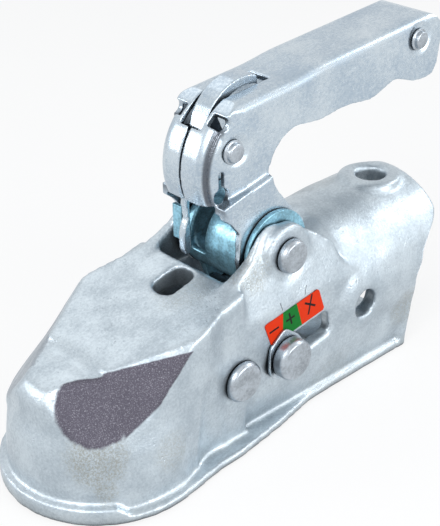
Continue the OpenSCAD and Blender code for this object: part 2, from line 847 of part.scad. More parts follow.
// A close coil round a bar along Y, from y0, with a straight leg at both ends.
module coil_y(x, z, mean_r, wire_d, y0, y1, turns, a0) {
    steps = 18;
    sides = 6;
    n = turns * steps;
    pts = [for (i = [0:n]) for (j = [0:sides - 1])
        let (a = a0 + 360 * i / steps, b = 360 * j / sides,
             rr = mean_r + wire_d / 2 * cos(b))
        [x + rr * cos(a), y0 + (y1 - y0) * i / n + wire_d / 2 * sin(b), z + rr * sin(a)]];
    walls = [for (i = [0:n - 1]) for (j = [0:sides - 1])
        let (k = (j + 1) % sides)
        [i * sides + j, i * sides + k, (i + 1) * sides + k, (i + 1) * sides + j]];
    polyhedron(points = pts,
        faces = concat(walls, [[for (j = [sides - 1:-1:0]) j]],
            [[for (j = [0:sides - 1]) n * sides + j]]), convexity = 6);
}

module return_spring() {
    color([0.40, 0.42, 0.44])
        coil_y(main_x, main_z, main_d / 2 + 2.2, 2, -lug_y + 1.3, lug_y - 1.3, 8, 0);
}

// Safety latch

module latch() {
    // lever outline: trigger above the grip and hub on the rivet
    trigger_x = latch_x + 17.8;
    trigger_z = latch_z + 2.1;
    color([0.55, 0.60, 0.65])
        difference() {
            union() {
                plate_xz(-latch_w / 2, latch_w / 2)
                    polygon(concat(
                        arc(trigger_x, trigger_z, trigger_r, 70, 152, 8),
                        [[latch_x - 6.4, latch_z + 8.3]],
                        arc(latch_x, latch_z, hub_r, 175, 350, 12),
                        arc(trigger_x + 1.5, trigger_z - 1.2, trigger_r - 3.4, 145, 70, 8)));
                // tongue, its front curved round the main pin to clear the window's edge
                plate_xz(tongue_y0, tongue_y1)
                    polygon(concat(
                        [[latch_x - 0.9 * hub_r, latch_z], [latch_x + 0.9 * hub_r, latch_z],
                         [latch_x + 0.56 * hub_r, latch_z - 0.94 * hub_r],
                         [latch_x - 0.1 * hub_r, latch_z - 1.9 * hub_r],
                         [catch_x, latch_z - 3 * hub_r], [catch_x, tongue_z + 2.4],
                         [catch_x - 1.4, tongue_z]],
                        arc(main_x, main_z, window_front - tongue_fit, 195, 156, 8),
                        [[tongue_x + 2.4, main_z + 16], [tongue_x + 1.6, main_z + 24],
                         [latch_x - 1.05 * hub_r, latch_z - hub_r]]));
            }
            bar_y(latch_x, latch_z, latch_rivet_d / 2 - rivet_shaft_cut + run_fit, -big, big);
        }
}

module catch_plate() {
    color([0.42, 0.55, 0.60])
        translate([catch_x - catch_t, tongue_y1, main_z - 1.5])
            difference() {
                cube([catch_t, catch_w, catch_h]);
                // the outer lower corner is cut off
                translate([-1, catch_w, 0])
                    rotate([35, 0, 0])
                        translate([0, -catch_w, -4])
                            cube([catch_t + 2, 2 * catch_w, 4]);
            }
}

// A rivet through both sides of the grip, with its heads in the dimples.
module rivet(x, z, d) {
    seat = grip_y - dimple;
    union() {
        bar_y(x, z, d / 2 - rivet_shaft_cut, -seat - 0.5, seat + 0.5);
        pin_head(x, z, d / 2, -seat, 1.8);
        scale([1, -1, 1])
            pin_head(x, z, d / 2, -seat, 1.8);
    }
}

module latch_rivet() {
    color([0.66, 0.68, 0.71])
        rivet(latch_x, latch_z, latch_rivet_d);
}

module latch_spring() {
    color([0.40, 0.42, 0.44])
        coil_y(latch_x, latch_z, latch_rivet_d / 2 + 0.8, 1.4, -nose_y + sheet - 0.3,
            -latch_w / 2 - 1, 4, 0);
}

module end_rivet() {
    color([0.66, 0.68, 0.71])
        rivet(end_x, end_z, end_rivet_d);
}

module end_spacer() {
    color([0.60, 0.62, 0.65])
        difference() {
            bar_y(end_x, end_z, end_rivet_d / 2 + 1, -grip_y + sheet, grip_y - sheet);
            bar_y(end_x, end_z, end_rivet_d / 2 - rivet_shaft_cut + head_fit, -big, big);
        }
}

// Claw and wear indicator

module claw() {
    arm_y = lug_y - side_fit;
    under = rim_z + 0.5;
    back = main_x + 10.6;
    top = main_z - crank_r - crank_d / 2 - 5;
    color([0.60, 0.64, 0.68])
        difference() {
            union() {
                plate_xz(-claw_w / 2, claw_w / 2)
                    polygon([[cup_r - 13, under], [cup_r + 3, under], [cup_r + 19, rim_z / 2],
                             [front_x + 5, front_z - 15.6], [gauge_x - 5, gauge_z - 13],
                             [back - 6, gauge_z - 10.5], [back - 6, top - 0.5],
                             [gauge_x - 10, top], [front_x, front_z + 12.4],
                             [cup_r, front_z + 10], [cup_r - 4, front_z + 4]]);
                plate_xz(-arm_y, arm_y)
                    polygon([[gauge_x - 9, gauge_z - 12], [back - 6, gauge_z - 10],
                             [back, gauge_z - 6], [back, main_z - crank_r + 8.5],
                             [main_x - 10.9, main_z - crank_r + 8.5],
                             [gauge_x - 9, gauge_z + 10]]);
            }
            sphere(r = cup_r, $fn = 64);
            // slot for the front guide pin
            plate_xz(-big, big)
                slide_slot(front_x, front_z, front_d / 2 + side_fit, -claw_travel - claw_spare, 0);
            // bore for the indicator pin
            bar_y(gauge_x, gauge_z, gauge_d / 2 + 0.03, -big, big);
            // fork for the crank pin
            plate_xz(-big, big)
                union() {
                    translate([main_x, main_z - crank_r])
                        circle(r = crank_d / 2 + crank_play);
                    translate([main_x - crank_d / 2 - crank_play, main_z - crank_r])
                        square([crank_d + 2 * crank_play, 20]);
                }
        }
}

module indicator_pin() {
    head_y = wall_y + side_fit + pointer_t;
    color([0.74, 0.76, 0.78])
        union() {
            pin_head(gauge_x, gauge_z, gauge_head_d / 2, -head_y, gauge_head_h);
            bar_y(gauge_x, gauge_z, gauge_d / 2, -head_y - 1, wall_y + side_fit + 4);
        }
}

module indicator_ring() {
    color([0.45, 0.46, 0.48])
        difference() {
            bar_y(gauge_x, gauge_z, gauge_d / 2 + 5, wall_y + side_fit, wall_y + side_fit + 2);
            bar_y(gauge_x, gauge_z, gauge_d / 2 + head_fit, 0, big);
        }
}

module pointer_plate() {
    // five-cornered plate whose tip reads against the label
    color([0.78, 0.80, 0.82])
        difference() {
            plate_xz(-wall_y - side_fit - pointer_t, -wall_y - side_fit)
                translate([gauge_x, gauge_z])
                    rotate(slide_tilt)
                        polygon([[-12.3, -4], [-9.5, -7.8], [-6, -10], [6, -10], [10.5, -6.5],
                                 [11, 3], [8.6, 7.5], [2.5, 14], [0, 14.6], [-9, 9.5],
                                 [-10.8, 5.5], [-12.8, 0]]);
            bar_y(gauge_x, gauge_z, gauge_d / 2 + head_fit, -big, 0);
        }
}

body_shell();
wear_label();
main_pin();
main_pin_ring();
front_pin();
front_pin_ring();
handle();
side_washers();
cam_barrel();
crank_pin();
return_spring();
latch();
catch_plate();
latch_rivet();
latch_spring();
end_rivet();
end_spacer();
claw();
indicator_pin();
indicator_ring();
pointer_plate();
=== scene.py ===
"""Looks of the trailer coupling head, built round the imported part."""

import json
import math

import bmesh
import bpy
from bpy.props import FloatProperty, FloatVectorProperty, IntProperty, PointerProperty
from bpy.types import Operator, Panel, PropertyGroup
from mathutils import Matrix, Vector, noise


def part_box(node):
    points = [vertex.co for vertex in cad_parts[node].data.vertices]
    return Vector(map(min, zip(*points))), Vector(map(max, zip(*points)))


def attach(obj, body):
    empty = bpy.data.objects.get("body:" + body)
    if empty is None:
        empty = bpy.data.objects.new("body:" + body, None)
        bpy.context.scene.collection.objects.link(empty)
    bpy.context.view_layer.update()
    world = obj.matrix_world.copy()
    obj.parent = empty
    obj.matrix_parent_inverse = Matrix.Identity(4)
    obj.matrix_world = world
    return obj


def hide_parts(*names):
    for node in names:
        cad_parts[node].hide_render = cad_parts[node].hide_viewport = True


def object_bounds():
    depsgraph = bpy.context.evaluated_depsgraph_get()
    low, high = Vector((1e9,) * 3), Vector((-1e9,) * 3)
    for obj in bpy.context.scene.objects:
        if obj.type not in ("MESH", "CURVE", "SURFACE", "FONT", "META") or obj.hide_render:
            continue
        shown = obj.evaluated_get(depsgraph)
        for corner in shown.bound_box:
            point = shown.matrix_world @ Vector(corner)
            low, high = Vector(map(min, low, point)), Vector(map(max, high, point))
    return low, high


bl_info = {
    "name": "Coupling head looks",
    "version": (1, 0, 0),
    "blender": (4, 5, 0),
    "location": "View3D > Sidebar > Coupling",
    "description": "Rounded forging, folded handle, pins, springs and finishes of a coupling head",
    "category": "Object",
}

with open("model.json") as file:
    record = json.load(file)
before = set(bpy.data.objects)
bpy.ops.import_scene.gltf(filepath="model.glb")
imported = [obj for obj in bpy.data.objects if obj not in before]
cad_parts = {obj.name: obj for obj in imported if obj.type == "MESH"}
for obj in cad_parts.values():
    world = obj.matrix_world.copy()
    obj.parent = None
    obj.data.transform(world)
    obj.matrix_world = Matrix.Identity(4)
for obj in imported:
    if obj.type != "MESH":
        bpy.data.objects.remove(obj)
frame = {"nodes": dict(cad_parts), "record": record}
CAD_BOX = [list(corner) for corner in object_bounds()]
MM = 0.001


def node_box(node):
    """Lowest and highest corners of a CAD node in millimetres."""
    low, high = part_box(node)
    return Vector(low) / MM, Vector(high) / MM


def node_middle(node):
    low, high = node_box(node)
    return (low + high) / 2


# Sizes and colours that a user would change


class CouplingSizes(PropertyGroup):
    forging_voxel: FloatProperty(
        name="Forging grid",
        description="Grid size used to round the forging's edges",
        default=1.15 * MM,
        unit="LENGTH",
    )
    forging_rounds: IntProperty(
        name="Forging rounding",
        description="How many times the forging's surface is evened out",
        default=6,
    )
    sheet_voxel: FloatProperty(
        name="Sheet grid",
        description="Grid size used to round the pressed sheet's edges",
        default=0.5 * MM,
        unit="LENGTH",
    )
    forging_wave: FloatProperty(
        name="Forging unevenness",
        description="Depth of the soft waves in the forged skin",
        default=0.16 * MM,
        unit="LENGTH",
    )
    floor_size: FloatProperty(
        name="Floor",
        description="Width of the floor",
        default=6.0,
        unit="LENGTH",
    )
    view_distance: FloatProperty(
        name="Camera distance",
        description="Distance from the camera to the middle of the part",
        default=0.601,
        unit="LENGTH",
    )
    view_lens: FloatProperty(
        name="Lens",
        description="Focal length in millimetres on a 36 mm sensor",
        default=86.24,
    )


def colour_setting(name, description, default):
    return FloatVectorProperty(
        name=name, description=description, default=default, subtype="COLOR", size=3, min=0, max=1
    )


class CouplingColours(PropertyGroup):
    forging_light: colour_setting("Forging", "Bright zinc on the forging", (0.54, 0.61, 0.66))
    forging_shade: colour_setting("Forging shade", "Duller zinc in the hollows", (0.37, 0.43, 0.48))
    oval_dark: colour_setting("Oval facet", "Dark rough skin of the ovals", (0.085, 0.08, 0.105))
    sheet_light: colour_setting("Sheet", "Bright zinc on the pressed sheet", (0.57, 0.64, 0.69))
    sheet_shade: colour_setting("Sheet shade", "Bluer zinc on the sheet", (0.36, 0.44, 0.52))
    pin_light: colour_setting("Pins", "Zinc on the pin heads", (0.47, 0.52, 0.57))
    teal: colour_setting("Inner sheet", "Blue-green zinc between the cheeks", (0.13, 0.25, 0.31))
    steel: colour_setting("Spring steel", "Dark spring steel", (0.16, 0.17, 0.19))
    label_red: colour_setting("Label red", "Worn and out-of-range fields", (0.62, 0.032, 0.004))
    dust: colour_setting("Dust", "Dull speckle on the plating", (0.30, 0.30, 0.26))
    label_green: colour_setting("Label green", "Middle field", (0.006, 0.15, 0.022))


def sizes():
    return bpy.context.scene.coupling_sizes


def colours():
    return bpy.context.scene.coupling_colours


# Shader building


class Nodes:
    """Adds and links shader nodes in one tree."""

    def __init__(self, tree):
        self.tree = tree

    def add(self, kind, settings=None, **inputs):
        node = self.tree.nodes.new("ShaderNode" + kind)
        for key, value in (settings or {}).items():
            setattr(node, key, value)
        for key, value in inputs.items():
            self.feed(node, key.replace("_", " "), value)
        return node

    def feed(self, node, socket, value):
        target = node.inputs[int(socket)] if socket.isdigit() else node.inputs[socket]
        if isinstance(value, bpy.types.NodeSocket):
            self.tree.links.new(value, target)
        else:
            target.default_value = value

    def math(self, operation, a, b=0.5, c=0.0):
        node = self.tree.nodes.new("ShaderNodeMath")
        node.operation = operation
        for socket, value in zip(node.inputs, (a, b, c)):
            if isinstance(value, bpy.types.NodeSocket):
                self.tree.links.new(value, socket)
            else:
                socket.default_value = value
        return node.outputs[0]

    def noise(self, vector, size, detail=3.0, roughness=0.55):
        """Noise whose blobs are about size millimetres across."""
        node = self.add("TexNoise", Vector=vector, Scale=1.0 / size, Detail=detail)
        node.inputs["Roughness"].default_value = roughness
        return node.outputs["Fac"]

    def ramp(self, value, low, high):
        """0 below low, 1 above high, smooth between."""
        node = self.add("MapRange", {"interpolation_type": "SMOOTHSTEP"})
        self.feed(node, "Value", value)
        self.feed(node, "From Min", low)
        self.feed(node, "From Max", high)
        return node.outputs["Result"]

    def mix(self, factor, a, b):
        node = self.add("Mix", {"data_type": "RGBA", "clamp_factor": True})
        for index, value in ((0, factor), (6, a), (7, b)):
            if isinstance(value, bpy.types.NodeSocket):
                self.tree.links.new(value, node.inputs[index])
            else:
                node.inputs[index].default_value = (*value, 1.0) if index else value
        return node.outputs[2]


def new_group(name, inputs, outputs):
    """A shader node group with named sockets, and its Nodes, inputs and output node."""
    tree = bpy.data.node_groups.new(name, "ShaderNodeTree")
    for label, kind, value in inputs:
        socket = tree.interface.new_socket(name=label, in_out="INPUT",
                                           socket_type="NodeSocket" + kind)
        if value is not None:
            socket.default_value = value
    for label, kind in outputs:
        tree.interface.new_socket(name=label, in_out="OUTPUT", socket_type="NodeSocket" + kind)
    start = tree.nodes.new("NodeGroupInput")
    end = tree.nodes.new("NodeGroupOutput")
    return Nodes(tree), start.outputs, end


def group(name, build):
    return bpy.data.node_groups.get(name) or build(name)


def zinc_tone(name):
    """Two zinc colours drifting into each other over large and small patches."""
    nodes, given, end = new_group(
        name,
        [("Vector", "Vector", None), ("Light", "Color", None), ("Shade", "Color", None),
         ("Patch", "Float", 18.0), ("Spread", "Float", 0.3)],
        [("Color", "Color"), ("Mask", "Float")],
    )
    scale = nodes.math("DIVIDE", 1.0, given["Patch"])
    broad = nodes.add("TexNoise", Vector=given["Vector"], Scale=scale, Detail=4.0)
    fine = nodes.noise(given["Vector"], 1.3, 3.0, 0.7)
    both = nodes.math("ADD", nodes.math("MULTIPLY", broad.outputs["Fac"], 0.5),
                      nodes.math("MULTIPLY", fine, 0.5))
    low = nodes.math("SUBTRACT", 0.5, given["Spread"])
    high = nodes.math("ADD", 0.5, given["Spread"])
    mask = nodes.ramp(both, low, high)
    tone = nodes.mix(mask, (1, 1, 1), (1, 1, 1))
    mixer = tone.node
    nodes.tree.links.new(given["Shade"], mixer.inputs[6])
    nodes.tree.links.new(given["Light"], mixer.inputs[7])
    nodes.tree.links.new(tone, end.inputs["Color"])
    nodes.tree.links.new(mask, end.inputs["Mask"])
    return nodes.tree


def forged_grain(name):
    """Scale pits and sandy grain of a forged and plated skin."""
    nodes, given, end = new_group(
        name,
        [("Vector", "Vector", None), ("Grain", "Float", 0.9), ("Pits", "Float", 0.5)],
        [("Height", "Float"), ("Pit Mask", "Float")],
    )
    scale = nodes.math("DIVIDE", 1.0, given["Grain"])
    sand = nodes.add("TexNoise", Vector=given["Vector"], Scale=scale, Detail=4.0)
    sand.inputs["Roughness"].default_value = 0.62
    dents = nodes.noise(given["Vector"], 5.0, 2.0, 0.5)
    cells = nodes.add("TexVoronoi", Vector=given["Vector"], Scale=0.55)
    cells.inputs["Randomness"].default_value = 1.0
    pit = nodes.math("SUBTRACT", 1.0, nodes.ramp(cells.outputs["Distance"], 0.05, 0.32))
    spots = nodes.ramp(nodes.noise(given["Vector"], 9.0, 2.0, 0.5), 0.5, 0.62)
    pits = nodes.math("MULTIPLY", nodes.math("MULTIPLY", pit, spots), given["Pits"])
    height = nodes.math("ADD", sand.outputs["Fac"], nodes.math("MULTIPLY", dents, 0.8))
    height = nodes.math("SUBTRACT", height, nodes.math("MULTIPLY", pits, 0.8))
    nodes.tree.links.new(height, end.inputs["Height"])
    nodes.tree.links.new(pits, end.inputs["Pit Mask"])
    return nodes.tree


def plane_mask(name):
    """1 on the side of a plane away from the origin, with a ragged border."""
    nodes, given, end = new_group(
        name,
        [("Vector", "Vector", None), ("Direction", "Vector", None), ("Distance", "Float", 40.0),
         ("Soft", "Float", 0.6), ("Ragged", "Float", 0.5)],
        [("Mask", "Float")],
    )
    dot = nodes.tree.nodes.new("ShaderNodeVectorMath")
    dot.operation = "DOT_PRODUCT"
    nodes.tree.links.new(given["Vector"], dot.inputs[0])
    nodes.tree.links.new(given["Direction"], dot.inputs[1])
    wobble = nodes.math("MULTIPLY", nodes.math("SUBTRACT", nodes.noise(given["Vector"], 3.0), 0.5),
                        given["Ragged"])
    reach = nodes.math("ADD", dot.outputs["Value"], wobble)
    mask = nodes.ramp(reach, nodes.math("SUBTRACT", given["Distance"], given["Soft"]),
                      given["Distance"])
    nodes.tree.links.new(mask, end.inputs["Mask"])
    return nodes.tree


def scratches(name):
    """Fine handling marks running mostly one way."""
    nodes, given, end = new_group(
        name, [("Vector", "Vector", None), ("Amount", "Float", 0.5)], [("Mask", "Float")]
    )
    stretch = nodes.add("Mapping", Vector=given["Vector"])
    stretch.inputs["Scale"].default_value = (0.12, 0.8, 1.6)
    stretch.inputs["Rotation"].default_value = (0.2, 0.35, 0.1)
    lines = nodes.noise(stretch.outputs["Vector"], 0.8, 4.0, 0.7)
    mask = nodes.math("MULTIPLY", nodes.ramp(lines, 0.56, 0.7), given["Amount"])
    nodes.tree.links.new(mask, end.inputs["Mask"])
    return nodes.tree


def recess(name):
    """1 deep in corners, holes and gaps, 0 on open surfaces: where shade is painted into the
    colour.
    """
    nodes, given, end = new_group(name, [("Reach", "Float", 8.0)], [("Mask", "Float")])
    open_sky = nodes.tree.nodes.new("ShaderNodeAmbientOcclusion")
    open_sky.samples = 8
    nodes.tree.links.new(nodes.math("MULTIPLY", given["Reach"], MM), open_sky.inputs["Distance"])
    closed = nodes.math("SUBTRACT", 1.0, open_sky.outputs["AO"])
    nodes.tree.links.new(nodes.ramp(closed, 0.34, 0.72), end.inputs["Mask"])
    return nodes.tree


def spot_mask(name):
    """A ragged patch round a point, 1 at its middle."""
    nodes, given, end = new_group(
        name,
        [("Vector", "Vector", None), ("Centre", "Vector", None), ("Radius", "Float", 10.0),
         ("Ragged", "Float", 0.6)],
        [("Mask", "Float")],
    )
    away = nodes.tree.nodes.new("ShaderNodeVectorMath")
    away.operation = "DISTANCE"
    nodes.tree.links.new(given["Vector"], away.inputs[0])
    nodes.tree.links.new(given["Centre"], away.inputs[1])
    share = nodes.math("DIVIDE", away.outputs["Value"], given["Radius"])
    wobble = nodes.math("MULTIPLY", nodes.math("SUBTRACT", nodes.noise(given["Vector"], 3.0), 0.5),
                        given["Ragged"])
    mask = nodes.math("SUBTRACT", 1.0, nodes.ramp(nodes.math("ADD", share, wobble), 0.5, 1.0))
    nodes.tree.links.new(mask, end.inputs["Mask"])
    return nodes.tree


def use_group(nodes, name, build, **inputs):
    node = nodes.tree.nodes.new("ShaderNodeGroup")
    node.node_tree = group(name, build)
    for key, value in inputs.items():
        socket = node.inputs[key.replace("_", " ")]
        if isinstance(value, bpy.types.NodeSocket):
            nodes.tree.links.new(value, socket)
        elif socket.type == "RGBA":
            socket.default_value = (*value, 1.0)
        else:
            socket.default_value = value
    return node.outputs


def new_material(name):
    """A material with a Principled shader, and object coordinates in millimetres."""
    material = bpy.data.materials.new(name)
    material.use_nodes = True
    nodes = Nodes(material.node_tree)
    shader = material.node_tree.nodes["Principled BSDF"]
    place = nodes.add("TexCoord")
    scale = nodes.add("Mapping", Vector=place.outputs["Object"])
    scale.inputs["Scale"].default_value = (1000, 1000, 1000)
    return material, nodes, shader, scale.outputs["Vector"]


def bump(nodes, shader, height, distance):
    node = nodes.add("Bump", Height=height)
    node.inputs["Distance"].default_value = distance * MM
    node.inputs["Strength"].default_value = 1.0
    nodes.tree.links.new(node.outputs["Normal"], shader.inputs["Normal"])


# Colour and strength of the shade painted into corners, holes and gaps
PAINTED_SHADE_COLOUR = (0.03, 0.045, 0.06, 1.0)
PAINTED_SHADE_STRENGTH = 0.94


def with_painted_shade(nodes, colour, reach):
    """The colour with shade painted in, darker where the surface lies in a corner, a hole or a gap.
    """
    mask = use_group(nodes, "recess", recess, Reach=reach)["Mask"]
    multiply = nodes.add("Mix", {"data_type": "RGBA", "blend_type": "MULTIPLY"})
    nodes.tree.links.new(nodes.math("MULTIPLY", mask, PAINTED_SHADE_STRENGTH), multiply.inputs[0])
    nodes.tree.links.new(colour, multiply.inputs[6])
    multiply.inputs[7].default_value = PAINTED_SHADE_COLOUR
    return multiply.outputs[2]


# Axis of the handle's round nose, along Y, and the distances from it over which the shade painted
# into the groove beside the folds fades in and out
NOSE_AXIS = (87.7, 110.0)
GROOVE_IN = (28.4, 30.2)
GROOVE_OUT = (31.4, 32.6)


def fold_groove(name):
    """Painted shade in the groove beside the folds of the handle's nose, read round the nose's
    axis.
    """
    nodes, given, end = new_group(name, [("Vector", "Vector", None)], [("Mask", "Float")])
    split = nodes.add("SeparateXYZ", Vector=given["Vector"])
    x = nodes.math("SUBTRACT", split.outputs["X"], NOSE_AXIS[0])
    z = nodes.math("SUBTRACT", split.outputs["Z"], NOSE_AXIS[1])
    reach = nodes.math("SQRT", nodes.math("ADD", nodes.math("MULTIPLY", x, x),
                                          nodes.math("MULTIPLY", z, z)))
    ring = nodes.math("MULTIPLY", nodes.ramp(reach, *GROOVE_IN),
                      nodes.math("SUBTRACT", 1.0, nodes.ramp(reach, *GROOVE_OUT)))
    side = nodes.math("GREATER_THAN", nodes.math("ABSOLUTE", split.outputs["Y"]), 12.2)
    front = nodes.math("SUBTRACT", 1.0, nodes.ramp(x, -23.0, -17.0))
    upper = nodes.ramp(z, -19.0, -12.0)
    mask = nodes.math("MULTIPLY", nodes.math("MULTIPLY", ring, side),
                      nodes.math("MULTIPLY", front, upper))
    nodes.tree.links.new(mask, end.inputs["Mask"])
    return nodes.tree


def zinc_material(name, light, shade, patch, rough, grain=0.7, grain_depth=0.02, scratch=0.4,
                  metallic=0.9, reach=20.0, groove=False):
    """Plated steel in two tones, with marks, grain and painted shade in its corners, and with
    groove a painted shade line beside the handle's folds.
    """
    material, nodes, shader, at = new_material(name)
    tone = use_group(nodes, "zinc_tone", zinc_tone, Vector=at, Light=light, Shade=shade,
                     Patch=patch, Spread=0.16)
    marks = use_group(nodes, "scratches", scratches, Vector=at, Amount=scratch)["Mask"]
    skin = use_group(nodes, "forged_grain", forged_grain, Vector=at, Grain=grain, Pits=0.25)
    bright = tuple(min(1.0, c * 1.25) for c in light)
    marked = nodes.mix(marks, (1, 1, 1), bright)
    nodes.tree.links.new(tone["Color"], marked.node.inputs[6])
    if groove:
        # paints shade along the groove beside the handle's folds
        groove_painted_shade = use_group(nodes, "fold_groove", fold_groove, Vector=at)["Mask"]
        dark = nodes.mix(nodes.math("MULTIPLY", groove_painted_shade, 0.85), (1, 1, 1), (0.06, 0.065, 0.08))
        nodes.tree.links.new(marked, dark.node.inputs[6])
        marked = dark
    # paints shade into corners, holes and gaps, as far as reach
    nodes.feed(shader, "Base Color", with_painted_shade(nodes, marked, reach))
    polish = nodes.math("MULTIPLY_ADD", tone["Mask"], rough[0] - rough[1], rough[1])
    nodes.feed(shader, "Roughness", polish)
    shader.inputs["Metallic"].default_value = metallic
    bump(nodes, shader, skin["Height"], grain_depth)
    return material


# The oval facets of the forging, as the part's source has them
SIDE_TILT = math.radians(57.0)
SIDE_TURN = math.radians(53.0)
SIDE_HEIGHT = 42.5
# Middle and radius of the round front end of the far oval; the near one mirrors it
OVAL_FRONT = (-17.1, 23.3, 33.5)
OVAL_RADIUS = 16.8
# Direction and distance of the planes that an oval keeps within above and below
OVAL_UPPER = ((-0.186, 0.5317, -0.8263), -24.9)
OVAL_LOWER = ((-0.2594, -0.7194, 0.6443), -8.5)
# Distance behind the front end's middle at which the straight part starts
OVAL_REST = 6.0
# Share of the dark skin that the far oval shows
FAR_OVAL = 0.35
# The wear scale lies along the claw's slide, measured from the indicator pin
GAUGE_X, GAUGE_Z = 84.2, 19.8
SLIDE_TILT = math.radians(8.0)
# Place, turn in degrees, half length and half width of the ticks scribed above the scale
TICKS = ((1.97, 26.1, -84, 2.05, 0.26), (18.6, 25.9, 56, 2.2, 0.26))
# Place, turn and half length of the strokes of the minus, plus and cross
SIGNS = ((-4.7, 17.1, 0, 3.1), (6.07, 17.3, 0, 2.9), (6.07, 17.3, 98, 3.4),
         (19.4, 17.5, -38, 4.2), (19.4, 17.5, 70, 5.3))

# Middle, radius and strength of the dull patches on the forging
DULL_PATCHES = (
    ((-24.0, -31.0, 14.0), 17.0, 0.75),
    ((-24.0, -36.0, -2.0), 7.0, 0.6),
    ((8.0, -43.0, 8.0), 12.0, 0.4),
    ((173.0, -36.0, 8.0), 14.0, 0.55),
    ((120.0, -37.0, -14.0), 22.0, 0.25),
    ((70.0, -26.0, 66.0), 14.0, 0.6),
    ((2.0, -34.0, 36.0), 9.0, 0.4),
    ((44.0, -10.0, 62.0), 16.0, 0.35),
    ((60.0, 40.0, 20.0), 24.0, 0.5),
    ((160.0, 20.0, 60.0), 20.0, 0.3),
)


def side_direction(side):
    """Direction that an oval facet faces; side is -1 near, 1 far."""
    return Vector((-math.sin(SIDE_TILT) * math.cos(SIDE_TURN),
                   side * math.sin(SIDE_TILT) * math.sin(SIDE_TURN), math.cos(SIDE_TILT)))


def mirrored(at, side):
    """A point or direction of the far side, for side -1 near or 1 far."""
    return at[0], side * at[1], at[2]


def gauge_axes(nodes, at, u, v, degrees):
    """Coordinates along and across a stroke centred on u, v of the wear scale."""
    cos, sin = math.cos(SLIDE_TILT), math.sin(SLIDE_TILT)
    turn = nodes.add("Mapping", {"vector_type": "TEXTURE"}, Vector=at)
    turn.inputs["Location"].default_value = (GAUGE_X + u * cos - v * sin, 0,
                                             GAUGE_Z + u * sin + v * cos)
    turn.inputs["Rotation"].default_value = (0, -SLIDE_TILT - math.radians(degrees), 0)
    split = nodes.add("SeparateXYZ", Vector=turn.outputs["Vector"])
    return split.outputs["X"], split.outputs["Z"]


def stroke(nodes, at, u, v, degrees, half_long, half_wide=0.55):
    along, across = gauge_axes(nodes, at, u, v, degrees)
    inside = nodes.math("LESS_THAN", nodes.math("ABSOLUTE", along), half_long)
    thin = nodes.math("LESS_THAN", nodes.math("ABSOLUTE", across), half_wide)
    return nodes.math("MULTIPLY", inside, thin)


